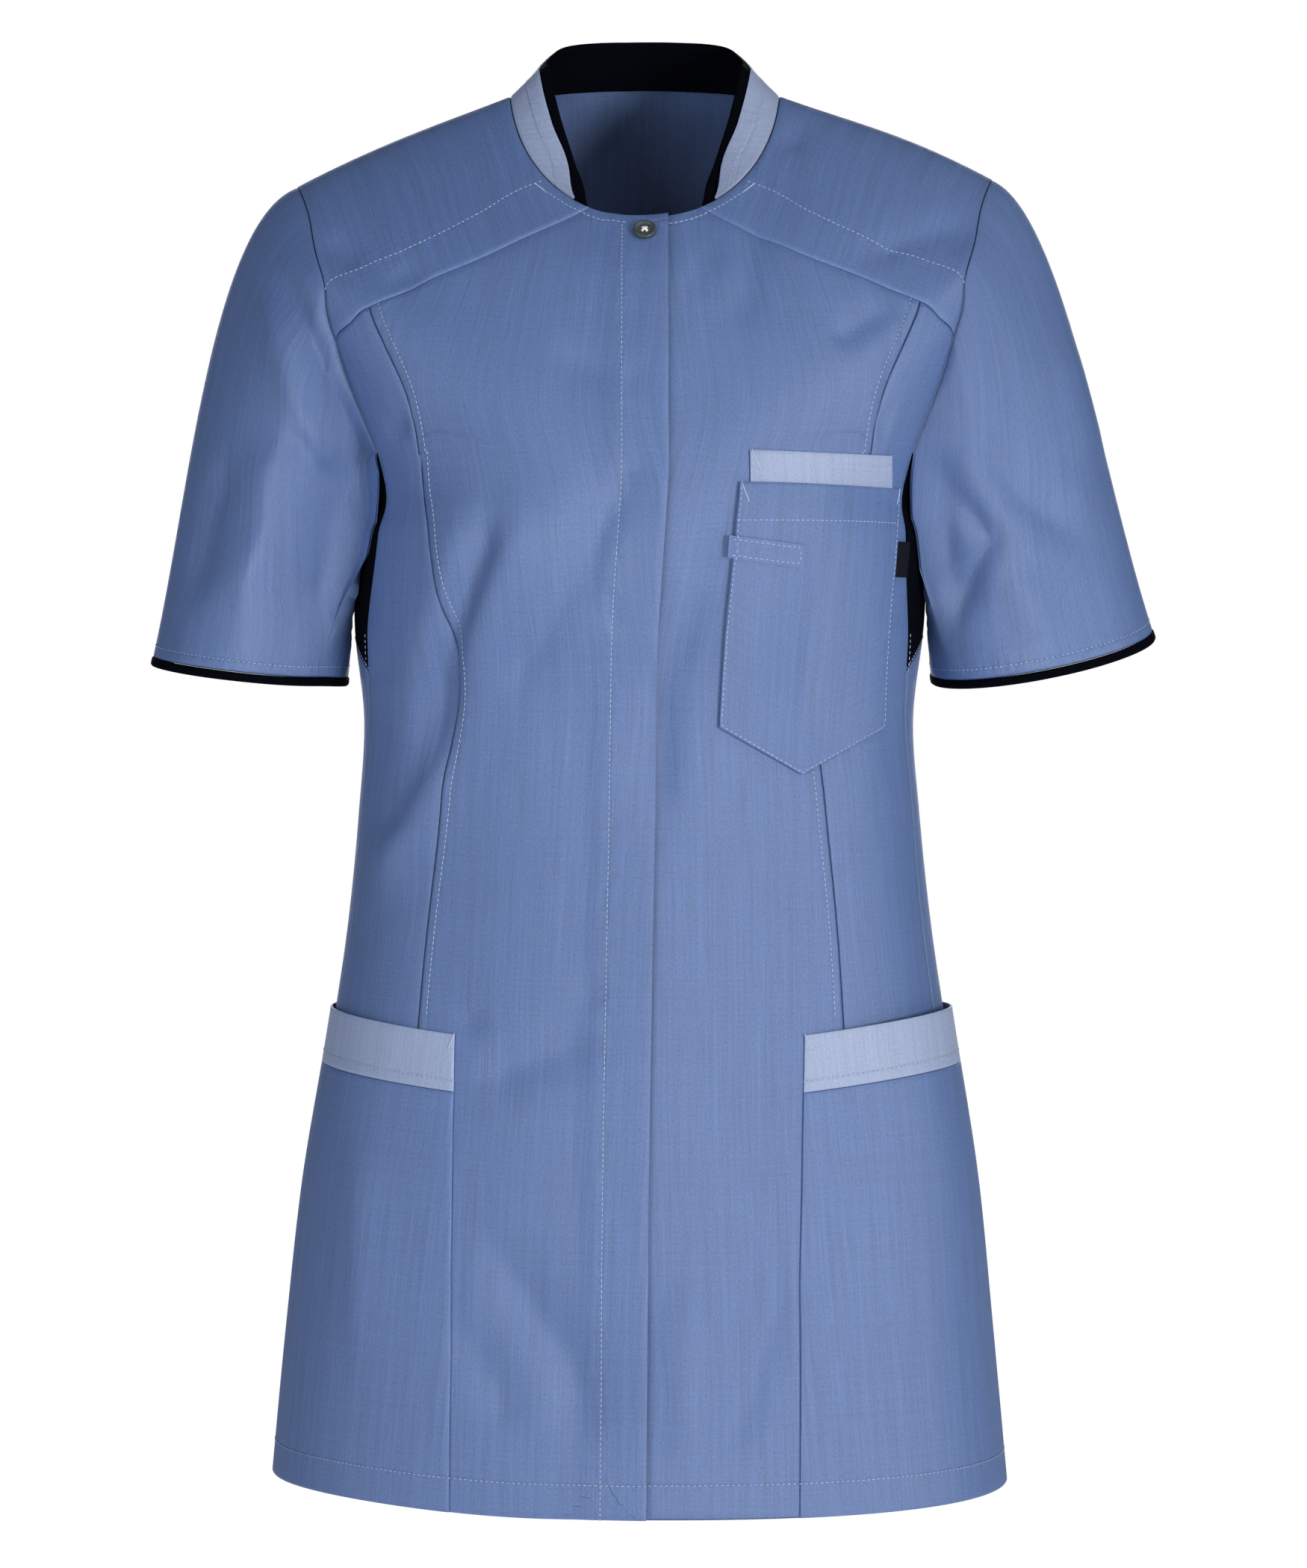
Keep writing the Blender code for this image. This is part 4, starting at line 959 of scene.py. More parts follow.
def add_fronts():
    heights = np.concatenate([HEIGHTS, np.linspace(HEIGHTS[-1], NECK, ROWS_ARMHOLE + 1)[1:]])
    aways = np.linspace(-FLY_HALF, FLY_END, FLY_COLUMNS)
    fly = np.stack([np.stack([np.sign(a) * turn_of_x(a, heights), heights], -1) for a in aways], 1)
    centre, princess = fly[:, -1], seams["princess"]
    top = joined(np.linspace(centre[-1], seams["yoke_front"][0], NECK_COLUMNS), seams["yoke_front"])
    main = patch(centre, princess, between(centre, princess, len(top) - 1), top)
    places = np.concatenate([fly[:, :-1], main], 1)
    neck = places[-1, : FLY_COLUMNS - 1 + NECK_COLUMNS]
    fly_line = mirrored(np.stack([turn_of_x(FLY_STITCH, heights), heights], -1))
    edges = sewn_edges("left", right=PRINCESS_STITCH, foot=HEM_STITCH)
    add_panel("left_front", places, BLUE, edges, lines=[(on_trunk(neck), NECK_STITCH)])
    lift = np.concatenate([fly_lift(aways[:-1]), np.zeros(main.shape[1])])
    lines = [(on_trunk(mirrored(neck)), NECK_STITCH), (on_trunk(fly_line, FLY_LIFT), 0.0)]
    add_panel("right_front", mirrored(places), BLUE, edges, ("left", "foot"), lift, lines=lines)
    return fly_line


fly_sewn = add_fronts()
print("fronts:", len(PIECES["left_front"].data.polygons), "faces each")

# %% Side fronts, side panels and gussets
GUSSET_STITCH = 1.4


def add_sides():
    side, side_back, foot = seams["side"], seams["side_back"], seams["gusset_foot"]
    outer_edge = joined(side, seams["armhole_front"])
    hem = between(seams["princess"], outer_edge, COLUMNS_YOKE_END)
    front = patch(seams["princess"], outer_edge, hem, seams["yoke_end"])
    low = ROWS_BELOW + 1
    panel = patch(side[:low], side_back[:low], between(side, side_back, COLUMNS_SIDE), foot)
    gusset = patch(side[low - 1 :], side_back[low - 1 :], foot, seams["underarm"][::-1])
    for half, flip in HALVES:
        arched = [(on_trunk(flip(side[low - 1 :])), GUSSET_STITCH)]
        edges = sewn_edges("left right top", foot=HEM_STITCH)
        add_panel(half + "_side_front", flip(front), BLUE, edges, lines=arched)
        edges = sewn_edges("left right", foot=HEM_STITCH, top=GUSSET_STITCH)
        add_panel(half + "_side_panel", flip(panel), BLUE, edges)
        add_panel(half + "_gusset", flip(gusset), NAVY, sewn_edges("left right foot"))


add_sides()
print(len(PIECES), "pieces so far")

# %% Yokes and back
YOKE_OUT = 0.45
# A seam along the shoulder's ridge, and the stitches above the lapped seam
RIDGE_LINE, RIDGE_POINTS = [(86.0, -73.5), (86.0, -84), (86.5, -97), (87.0, -112), (87.5, -130)], 60
YOKE_UPPER, YOKE_POINTS = [(57, -51.5), (65, -54.5), (89, -69), (129, -89.5), (160, -102), (173, -111)], 40
BACK_ROUNDS = 900


def add_yokes_and_back():
    front = joined(seams["yoke_front"], seams["yoke_end"])
    yoke = patch(seams["neck_yoke"], seams["armhole_top"], front, seams["yoke_back"])
    upper = seen_line(YOKE_UPPER, YOKE_POINTS)
    ridge = line(RIDGE_LINE, RIDGE_POINTS)
    for half, flip in HALVES:
        lines = [(on_trunk(flip(upper), YOKE_OUT), 0.0), (on_trunk(flip(ridge), YOKE_OUT), None)]
        edges = sewn_edges("foot top right")
        add_panel(half + "_yoke", flip(yoke), BLUE, edges, ("foot",), YOKE_OUT, lines=lines)
    left = joined(seams["side_back"], seams["armhole_back"][::-1])
    right = past_the_back(left)
    neck = np.linspace((YOKE_BACK_TURN, NECK), (360 - YOKE_BACK_TURN, NECK), COLUMNS_NECK_BACK + 1)
    top = joined(seams["yoke_back"][::-1], neck, past_the_back(seams["yoke_back"]))
    places = relaxed(patch(left, right, between(left, right, len(top) - 1), top), BACK_ROUNDS)
    add_panel("back", places, BLUE, sewn_edges("left right top", foot=HEM_STITCH))
    return upper


yoke_upper = add_yokes_and_back()
print({name: len(piece.data.polygons) for name, piece in PIECES.items()})

# %% [markdown]
# ## The sleeves
#
# A set-in sleeve is a tube from the armhole to the hem. It leaves the shoulder along its slope and then
# hangs. A Hermite curve does this for every point round the armhole: it starts in the direction that the
# sleeve leaves it, and arrives at an ellipse, the hem, almost straight down. Under the arm the tube keeps
# clear of the trunk.

# %% Sleeve tables
Sleeve = namedtuple("Sleeve", "name side hem_x hem_z half_width half_depth tilt drop flare out")
SLEEVES = [
    Sleeve("right", -1, -218.5, -314.5, 54.0, 63.0, 6.0, 5, 0.22, 142),
    Sleeve("left", 1, 220.0, -306.5, 61.5, 55.5, 12.5, 11, 0.31, 118),
]
SLEEVE_ROWS, SLEEVE_MIDDLE_Y, SLEEVE_START = 64, -4, 0.35
LEAVE_UNDER, LEAVE_DOWN, LEAVE_FRONT, LEAVE_BACK = 16, (52, 95), 20, 10
UNDER_FLARE, TUCK, TUCK_PEAK = 0.09, 14.0, 0.65
BINDING, BINDING_WALL, SLEEVE_STITCH = 5.0, 2.2, 6.0
BINDING_ROWS, BINDING_ARC = 7, (0.15, 0.85)
SHOULDER_TIP = 6 / 7  # where the sleeve's middle line meets the upper armhole
TURNED_IN = [3.5, 1.6, 0.5]  # rows of the sleeve's seam allowance, this far inside the armhole
CREASE_FACING, CREASE_START = 0.4, 0.15  # folds fade in over these shares, from the side and from the armhole
# The gap to the trunk, the share of the length over which it grows, and the height and row where it begins
CLEAR, CLEAR_SHARE, CLEAR_ABOVE, CLEAR_ROW = 2.5, 0.4, 12, 5
print([sleeve.name for sleeve in SLEEVES])


# %% Tools for sleeves
def grid_normals(grid, ring=True):
    """Outward normals of a grid whose rows run down from the armhole and whose columns run round."""
    across = np.roll(grid, -1, 1) - np.roll(grid, 1, 1) if ring else np.gradient(grid, axis=1)
    return unit(np.cross(np.gradient(grid, axis=0), across))


def inset_line(grid, inset):
    """The line that runs at the distance inset above a grid's last row."""
    back = grid[::-1]
    columns = range(grid.shape[1])
    run = run_along(back)
    return np.array([[np.interp(inset, run[:, j], back[:, j, k]) for k in range(3)] for j in columns])


def clear_of_trunk(grid, side):
    """Sleeve points moved outwards where they would touch the trunk's side."""
    grid = grid.copy()
    gap = CLEAR * smooth(np.linspace(0, 1, len(grid)) / CLEAR_SHARE)[:, None]
    ring = ring_at(np.minimum(grid[..., 2], UNDERARM))
    depth = np.where(grid[..., 1] < 0, ring.chest, ring.spine)
    share = np.clip(np.abs(grid[..., 1]) / depth, 0, 1)
    reach = ring.width * (1 - share**ring.square) ** (1 / ring.square) + ring.shift * side + gap
    near = (grid[..., 2] <= UNDERARM + CLEAR_ABOVE) & (np.arange(len(grid)) > CLEAR_ROW)[:, None]
    grid[..., 0] = np.where(near, side * np.maximum(side * grid[..., 0], reach), grid[..., 0])
    return grid


def armhole(sleeve):
    round_arm = "armhole_front", "armhole_top", "armhole_back", "underarm"
    loop = joined(*[seams[name] for name in round_arm])[:-1]
    return loop if sleeve.side > 0 else mirrored(loop)


def sleeve_start(sleeve, out=0.0):
    """The armhole's points, a little off the trunk's seam."""
    return on_trunk(armhole(sleeve), out) + np.array([sleeve.side * SLEEVE_START, 0, 0])


print("points round an armhole:", len(armhole(SLEEVES[0])))


# %% Sleeves and their bindings
def sleeve_grid(sleeve):
    """Rows of points down the sleeve. Each starts at the front lower armhole and goes over the shoulder."""
    start = sleeve_start(sleeve)
    run = run_along(np.vstack([start, start[:1]]))
    tip = ROWS_ARMHOLE + round(ROWS_YOKE * SHOULDER_TIP)
    around = 2 * math.pi * (run[:-1] - run[tip]) / run[-1]
    sine, cosine = np.sin(around), np.cos(around)
    under = (1 - cosine) / 2
    out, down = mix(sleeve.out, LEAVE_UNDER, under), mix(*LEAVE_DOWN, under)
    forward = np.where(sine < 0, LEAVE_FRONT, LEAVE_BACK) * sine
    leave = np.stack([sleeve.side * out, forward, -down], -1)
    x = sleeve.hem_x + sleeve.side * sleeve.half_width * cosine
    y = SLEEVE_MIDDLE_Y + sleeve.half_depth * sine
    hem = np.stack([x, y, sleeve.hem_z + sleeve.tilt * cosine + sleeve.drop * sine], -1)
    fall = np.linalg.norm(hem - start, axis=1)[:, None]
    flare = mix(sleeve.flare, UNDER_FLARE, under)
    arrive = np.stack([sleeve.side * flare, 0 * flare, -np.sqrt(1 - flare**2)], -1) * fall
    t = np.linspace(0, 1, SLEEVE_ROWS + 1)[:, None, None]
    grid = hermite(t, start, leave, hem, arrive)
    wrap = np.clip(-sine, 0, 1) * under / TUCK_PEAK
    grid[..., 0] -= sleeve.side * TUCK * wrap * np.sin(t[:, 0] * math.pi)
    normal = grid_normals(grid) * sleeve.side
    push = crease_depth(grid[..., 0], grid[..., 2], SLEEVE_CREASES) * smooth(-normal[..., 1] / CREASE_FACING)
    return clear_of_trunk(grid + normal * (push * smooth(t[:, 0] / CREASE_START))[..., None], sleeve.side)


def add_sleeve(sleeve):
    name, grid = sleeve.name + "_sleeve", sleeve_grid(sleeve)
    seam = np.vstack([grid[0], grid[0][:1]])
    turned = np.stack([sleeve_start(sleeve, -deep) for deep in TURNED_IN])
    grid = np.concatenate([turned, rimmed_rows(grid)])
    normal = grid_normals(grid) * sleeve.side
    edges = {"top": SLEEVE_STITCH}
    add_shell(name, grid, grid - WALL * normal, BLUE, edges, lines=[(seam, None)], ring=True)
    down = np.linspace(SEAM, SEAM + BINDING, BINDING_ROWS)[:, None, None]
    rows = grid[-1] + unit(grid[-1] - grid[-2]) * down
    arc = np.sin(np.linspace(*BINDING_ARC, BINDING_ROWS) * math.pi)[:, None, None] ** 0.5
    proud = (BINDING_WALL - WALL) / 2 * arc
    outer, inner = rows + normal[-1] * proud, rows - normal[-1] * (WALL + proud)
    add_shell(name + "_binding", outer, inner, NAVY, sewn_edges("foot"), ring=True)
    stitches = inset_line(grid, SLEEVE_STITCH) + normal[-1] * THREAD_LIFT
    STITCH_LINES.append(np.vstack([stitches, stitches[:1]]))


for sleeve in SLEEVES:
    add_sleeve(sleeve)
print("sleeves", len(PIECES["left_sleeve"].data.polygons), "faces each")

# %% [markdown]
# ## The collar
#
# The stand collar is a pale band outside and a near-black knit lining inside, whose bound edge stands above
# the band. Both start at the neckline and lean in towards the neck, more so at the front, where the band
# runs out.

# %% Collar tables and pieces
CollarRow = namedtuple("CollarRow", "turn band lining lean foot")
COLLAR = [
    CollarRow(0, 24.3, 25.2, 2, 0.4),
    CollarRow(40, 24.3, 25.8, 18, 0.4),
    CollarRow(65, 23.0, 26.5, 36, 0.4),
    CollarRow(90, 21.5, 27.0, 46, 0.4),
    CollarRow(118, 22.0, 29.0, 50, 0.5),
    CollarRow(138, 17.0, 23.5, 56, 0.8),
    CollarRow(150.5, 1.8, 14.0, 60, 1.1),
    CollarRow(157, -4.0, 2.0, 62, 1.3),
]
BAND_END, LINING_END, COLLAR_GAP, COLLAR_MIDDLE_Y = 150.5, 157, 0.5, -4
COLLAR_COLUMNS, END_COLUMNS, COLLAR_ROWS = 200, 6, 16
BAND_STITCH, BOUND_EDGE, BOUND_FADE = 9.0, 5.0, 1.5
SWELL_OUT, SWELL_IN = 0.2, -0.5  # how much the bound edge is thicker than the lining, on either side
LINING_FOOT = 1.4  # rows by which the lining reaches below the neckline, inside the garment


def collar_layer(out, turns, column, swell=0.0):
    """Points of a collar layer out from the band's outer face, from one front end round to the other."""
    rows = CollarRow(*through([row.turn for row in COLLAR], COLLAR, np.abs(turns)).T)
    height, gap = getattr(rows, column)[:, None], rows.foot[:, None]
    foot = on_trunk(np.stack([180 + turns, np.full(len(turns), NECK)], -1))
    toward = unit(np.stack([-foot[:, 0], COLLAR_MIDDLE_Y - foot[:, 1], 0 * turns], -1))
    lean = np.radians(rows.lean)[:, None]
    rise = toward * np.sin(lean) + np.array([0, 0, 1.0]) * np.cos(lean)
    shares = np.linspace(0, 1, COLLAR_ROWS + 1)[:, None, None]
    face = foot + rise * (gap + height * shares)
    bound = swell * smooth((BOUND_EDGE + 1 - (1 - shares) * height) / BOUND_FADE)
    return face - grid_normals(face, ring=False) * (out + bound)


def lengthened(face):
    """The lining's grid with one more row inside the garment."""
    return np.concatenate([face[:1] + (face[:1] - face[1:2]) * LINING_FOOT, face])


def add_collar():
    turns = np.linspace(-BAND_END, BAND_END, COLLAR_COLUMNS + 1)
    outer, inner = (collar_layer(-deep, turns, "band") for deep in (0, TRIM_WALL))
    add_shell("collar_band", outer, inner, PALE, sewn_edges("foot", top=BAND_STITCH), ("top",))
    normal = grid_normals(outer, ring=False)[COLLAR_ROWS // 2]
    stitches = inset_line(outer, BAND_STITCH) - normal * THREAD_LIFT
    STITCH_LINES.append(stitches[np.linalg.norm(outer[-1] - outer[0], axis=1) > BAND_STITCH + 1])
    ends = np.linspace(BAND_END, LINING_END, END_COLUMNS)[1:]
    turns = np.concatenate([-ends[::-1], turns, ends])
    depth = TRIM_WALL + COLLAR_GAP
    outer = lengthened(collar_layer(-depth, turns, "lining", SWELL_OUT))
    inner = lengthened(collar_layer(-depth - TRIM_WALL, turns, "lining", SWELL_IN))
    add_shell("collar_lining", outer, inner, NAVY, sewn_edges("foot", top=BOUND_EDGE))


add_collar()
print("collar", len(PIECES["collar_band"].data.polygons), "faces")

# %% [markdown]
# ## Pockets
#
# The two lower pockets run from an upright edge round to the side panel, down to the hem. Their mouths carry
# a pale band and stand off a little at the side. On the chest there is a pocket with a pale second pocket
# behind its mouth, a stitched loop for a pen, and a small tab in the seam at its side. The tab stays bare.

# %% Lower pockets with their bands
LIE = 0.5
POCKET_INNER, GAPE_FOOT, GAPE_RISE = 94, -720, 190
BAND_TOP_INNER, BAND_TOP_SIDE, BAND_HEIGHT = -515, -502, 31
BAND_GAPE = {"right": 2.5, "left": 8.0}
BACK_GAP = 1.0  # degrees between a pocket and the seam behind it
BAND_TACK = [-1, -5], [0, 1]  # rows and columns of the band where its bar tack starts and ends
POCKET_COLUMNS, POCKET_ROWS, BAND_ROWS, POCKET_BAND_STITCH = 60, 70, 16, 6.2
GAPE_REACH, GAPE_SHARP = 1.05, 1.5  # the gape ends before the back edge, and grows slowly at first


def add_lower_pockets():
    share = np.linspace(0, 1, POCKET_COLUMNS + 1)

    def across(z_inner, z_side):
        """The (turn, up) places across a pocket, from its upright inner edge round to its back edge."""
        outer = read_off(seams["side_back"], [z_side])[0] - BACK_GAP
        turns = mix(turn_of_x(POCKET_INNER, z_inner), outer, share)
        return np.column_stack([turns, mix(z_inner, z_side, np.sin(share * math.pi / 2))])

    def grid(low, high, rows):
        """The places between two levels, each given at the inner and at the side edge."""
        steps = np.linspace(0, 1, rows + 1)
        return np.stack([across(mix(low[0], high[0], t), mix(low[1], high[1], t)) for t in steps])

    band_top = BAND_TOP_INNER, BAND_TOP_SIDE
    band_foot = BAND_TOP_INNER - BAND_HEIGHT, BAND_TOP_SIDE - BAND_HEIGHT
    bag, band = grid((HEM, HEM), band_foot, POCKET_ROWS), grid(band_foot, band_top, BAND_ROWS)
    mouth = np.sin(np.clip(share * GAPE_REACH, 0, 1) * math.pi) ** GAPE_SHARP

    def off_trunk(half, places):
        return LIE + TRIM_WALL + BAND_GAPE[half] * mouth * ramp(places[..., 1], GAPE_FOOT, GAPE_RISE)

    edges = sewn_edges("left right", foot=HEM_STITCH)
    band_edges = sewn_edges("left right top", foot=POCKET_BAND_STITCH)
    for half, flip in HALVES:
        for piece, places, finish, sewn in (("", bag, BLUE, edges), ("_band", band, PALE, band_edges)):
            name, out = half + "_pocket" + piece, off_trunk(half, places)
            add_panel(name, flip(places), finish, sewn, ("left", "foot", "top"), out, TRIM_WALL)
        points = on_trunk(flip(band), off_trunk(half, band) + THREAD_LIFT)
        STITCH_LINES.append(inset_line(points[::-1], POCKET_BAND_STITCH))
        TACK_LINES.append(points[BAND_TACK])
        stitch_along(flip(across(HEM + HEM_STITCH, HEM + HEM_STITCH)), LIE + TRIM_WALL)


add_lower_pockets()
print("lower pockets", len(PIECES["left_pocket"].data.polygons), "faces each")

# %% Chest pocket, its inner strip, the pen loop and the tab
Patch = namedtuple("Patch", "name top_x foot_x top foot tip slope layer rows columns finish")
PATCHES = [
    Patch("chest_pocket_inner", (55, 132), (55, 132), -202, -231.5, 0, 0, 1, 12, 50, PALE),
    Patch("chest_pocket", (49.6, 135.8), (45.9, 134.6), -219.5, -349.5, -25.5, 0, 2, 60, 60, BLUE),
    Patch("pen_loop", (45.6, 83.4), (45.6, 83.4), -247, -258.5, 0, 4.5, 3, 12, 40, BLUE),
    Patch("pocket_tab", (135.6, 142.6), (135.4, 142.3), -248.5, -267.8, 0, 0, 2, 10, 6, SATIN),
]
ALL_EDGES = dict.fromkeys(EDGES)
LAYER_GAP = 0.35


def patch_places(piece, t, s):
    """(turn, up) at the share t up from the foot and s across from the inner side."""
    foot = piece.foot + piece.tip * (1 - np.abs(2 * s - 1))
    x = mix(mix(*piece.foot_x, s), mix(*piece.top_x, s), t)
    return seen_at(x, mix(foot, piece.top, t) - piece.slope * s)


def layer_out(layer):
    return LIE + layer * TRIM_WALL + (layer - 1) * LAYER_GAP


for piece in PATCHES:
    t, s = np.meshgrid(np.linspace(0, 1, piece.rows + 1), np.linspace(0, 1, piece.columns + 1), indexing="ij")
    out = layer_out(piece.layer)
    add_panel(piece.name, patch_places(piece, t, s), piece.finish, ALL_EDGES, tuple(EDGES), out, TRIM_WALL)
print({piece.name: len(PIECES[piece.name].data.polygons) for piece in PATCHES})

# %% [markdown]
# ## The button
#
# One dark four-hole button shows at the neck. Its rim stands up round a shallow dish, and pale thread crosses
# in the four holes. The profile is spun into rings, and the dish's middle is a flat face with real holes,
# drawn with a constrained triangulation.

# %% The button's sizes and place
BUTTON_Z, BUTTON_RADIUS, BUTTON_THICKNESS, BUTTON_LIFT = -82.5, 6.35, 2.6, 0.3
BUTTON_HOLE, BUTTON_HOLE_AT, BUTTON_SIDES, HOLE_SIDES = 0.85, 1.55, 72, 20
BUTTON_HOLES = [(x * BUTTON_HOLE_AT, y * BUTTON_HOLE_AT) for x in (-1, 1) for y in (-1, 1)]
STRAND, STRAND_RISE = 0.30, 1.0  # the radius and the rise of a strand of the button's thread
STRAND_STEPS, STRAND_SIDES = 11, 8
STRAND_SHIFTS = (-1.4, 0.0, 1.4)  # strands side by side, in radii
# Share of the thickness and share of the radius, from the back's middle out and over the rim into the dish
BUTTON_EDGE = [
    (0.0, 0.60), (0.0, 0.90), (0.08, 0.97), (0.25, 1.0), (0.62, 1.0), (0.84, 0.975), (0.96, 0.93),
    (1.0, 0.87), (0.99, 0.81), (0.93, 0.76), (0.82, 0.71), (0.72, 0.66), (0.66, 0.60),
]


def button_frame():
    """The middle of the button's back, and its sideways, upward and outward directions."""
    up = seen_at(0, BUTTON_Z)[1]
    foot, tip = (trunk(0.0, up, fly_lift(0.0) + BUTTON_LIFT + out) for out in (0.0, 1.0))
    normal = tip - foot
    side = np.array([1.0, 0, 0])
    return foot, side, unit(np.cross(side, normal)), normal


print("button at", (button_frame()[0] * MM).round(4))


# %% Button
def band_of_faces(low, high):
    """Faces between two rings of numbered points."""
    return [[low[k], low[k - 1], high[k - 1], high[k]][::-1] for k in range(len(low))]


def dish(holes):
    """Places and faces of a round plate with the holes, and the loops of places that bound it and them."""
    flat, loops = [], []
    rims = [(0, 0, BUTTON_EDGE[-1][1] * BUTTON_RADIUS, BUTTON_SIDES)]
    for x, y, radius, sides in rims + [(x, y, BUTTON_HOLE, HOLE_SIDES) for x, y in holes]:
        loops.append(list(range(len(flat), len(flat) + sides)))
        flat += circle(x, y, radius, sides)
    edges = [(a, b) for loop in loops for a, b in zip(loop, loop[1:] + loop[:1])]
    drawn = delaunay_2d_cdt([Vector(place) for place in flat], edges, [], 1, 1e-5)
    face = [[drawn[3][k][0] for k in corners] for corners in drawn[2]]
    middles = [np.mean([flat[k] for k in corners], axis=0) for corners in face]
    solid = [all(math.dist(middle, hole) > BUTTON_HOLE for hole in holes) for middle in middles]
    return flat, loops, [corners for corners, kept in zip(face, solid) if kept]


def add_button(finish):
    foot, side, upward, normal = button_frame()
    flat, loops, face = dish(BUTTON_HOLES)
    vertices = [(x, y, BUTTON_EDGE[k][0] * BUTTON_THICKNESS) for k in (0, -1) for x, y in flat]
    faces = [corners[::-1] for corners in face] + [[len(flat) + k for k in corners] for corners in face]
    for loop in loops[1:]:
        faces += [[a, b, len(flat) + b, len(flat) + a] for a, b in zip(loop, loop[1:] + loop[:1])]
    rings = [loops[0]]
    for share, radius in BUTTON_EDGE[1:-1]:
        rings.append(list(range(len(vertices), len(vertices) + BUTTON_SIDES)))
        ring = circle(0, 0, radius * BUTTON_RADIUS, BUTTON_SIDES)
        vertices += [(x, y, share * BUTTON_THICKNESS) for x, y in ring]
    rings.append([len(flat) + k for k in loops[0]])
    for low, high in zip(rings, rings[1:]):
        faces += band_of_faces(low, high)
    placed = [tuple((foot + side * x + upward * y + normal * z) * MM) for x, y, z in vertices]
    place_mesh("neck_button", new_mesh("neck_button", placed, faces), finish)


# %% Strands through the button's holes
def add_button_thread():
    """Strands that cross in the button's four holes, side by side, as one mesh."""
    foot, side, upward, normal = button_frame()
    vertices, faces = [], []
    for sign in (-1, 1):
        along = np.array([1, sign]) / math.sqrt(2)
        across = np.array([-along[1], along[0]])
        sideways = side * across[0] + upward * across[1]
        for shift in STRAND_SHIFTS:
            rows = []
            for step in np.linspace(-1, 1, STRAND_STEPS):
                x, y = along * step * BUTTON_HOLE_AT * math.sqrt(2) + across * shift * STRAND
                z = BUTTON_THICKNESS * BUTTON_EDGE[-1][0] + STRAND_RISE * math.cos(step * math.pi / 2)
                middle = foot + side * x + upward * y + normal * (z - STRAND)
                rows.append(list(range(len(vertices), len(vertices) + STRAND_SIDES)))
                ring = circle(0, 0, STRAND, STRAND_SIDES)
                vertices += [tuple((middle + sideways * a + normal * b) * MM) for a, b in ring]
            for low, high in zip(rows, rows[1:]):
                faces += band_of_faces(low, high)
            faces += [rows[0][::-1], rows[-1]]
    return new_mesh("button_thread", vertices, faces)


# %% The button's plastic
PLASTIC_COLOUR, PLASTIC_GRAIN = (0.045, 0.055, 0.058), (900.0, 2.0, 0.5, 0.75)
PLASTIC_ROUGHNESS = 0.25, 0.28  # the noise's part of it, and the rest


def speckled(tree, colour, scale, detail, swing, least):
    """A colour times a noise between least and least + swing, and the noise itself."""
    place = add_node(tree, "ShaderNodeTexCoord").outputs["Object"]
    noise = add_noise(tree, place, scale, detail)
    return times(tree, colour, maths(tree, "MULTIPLY_ADD", noise, swing, least)), noise


def plastic_looks(tree):
    colour, noise = speckled(tree, PLASTIC_COLOUR, *PLASTIC_GRAIN)
    return {"Base Color": colour, "Roughness": maths(tree, "MULTIPLY_ADD", noise, *PLASTIC_ROUGHNESS)}


PLASTIC = new_material("dark_plastic", plastic_looks)
add_button(PLASTIC)
print("button", len(PIECES["neck_button"].data.polygons), "faces")

# %% [markdown]
# ## Where the needle went
#
# The thread lines are the same seam lines, moved sideways. Those on the chest pocket are given in
# millimetres from its inner side and below its mouth. Bar tacks, the short dense lines that lock a pocket's
# corner, are kept apart.

# %% Stitch lines on the trunk
GUSSET_INSET, GUSSET_RUN = 2.2, 19.0
NECK_LINE, NECK_POINTS = [(6.3, -76.9), (14, -76.4), (24, -75.6), (34, -75.2), (43.8, -75.6)], 30
NECK_TACK = [(39.5, -75.4), (43.8, -75.6)]
YOKE_START_TURN = 21  # beyond this turn the neck's stitches lie on the yoke
POCKET_TOP = -508
HEM_POINTS = {"left": 40, "right": 60, "back": 160}
FLY_GAP = 0.3, 0.2  # degrees by which the hem's stitches stay short of the fly's edge, below and on it


def sew_trunk():
    princess = beside(seams["princess"], PRINCESS_STITCH)
    neck = line(NECK_LINE, NECK_POINTS)
    gusset_side = beside(seams["side"][ROWS_BELOW:], -GUSSET_INSET)
    for flip in (np.asarray, mirrored):
        stitch_along(flip(princess[princess[:, 1] > POCKET_TOP]))
        stitch_along(flip(yoke_upper), YOKE_OUT)
        stitch_along(flip(beside(seams["gusset_foot"], GUSSET_INSET)))
        stitch_along(flip(gusset_side[gusset_side[:, 1] < gusset_side[0, 1] + GUSSET_RUN]))
        lapped = flip(neck)
        turn, up = lapped[:, 0], lapped[:, 1]
        on_yoke = YOKE_OUT * (np.abs(turn) > YOKE_START_TURN)
        stitch_along(lapped, np.where(turn < 0, fly_lift(-straight(turn, up)[:, 0]), 0) + on_yoke)
        TACK_LINES.append(on_trunk(flip(np.array(NECK_TACK)), YOKE_OUT + THREAD_LIFT))
    stitch_along(fly_sewn[fly_sewn[:, 1] < NECK_LINE[0][1]], FLY_LIFT)
    hem = HEM + HEM_STITCH
    inner, fly_turn = turn_of_x(POCKET_INNER, hem), turn_of_x(FLY_HALF, hem)
    side_back = read_off(seams["side_back"], [hem])[0]
    ends = {
        "left": (fly_turn + FLY_GAP[0], inner),
        "right": (fly_turn - FLY_GAP[1], -inner),
        "back": (side_back, 360 - side_back),
    }
    for name, (start, end) in ends.items():
        turns = np.linspace(start, end, HEM_POINTS[name])
        heights = np.full(len(turns), hem)
        lift = fly_lift(-straight(turns, heights)[:, 0]) if name == "right" else 0.0
        stitch_along(np.stack([turns, heights], -1), lift)


sew_trunk()
print(len(STITCH_LINES), "lines of stitches")

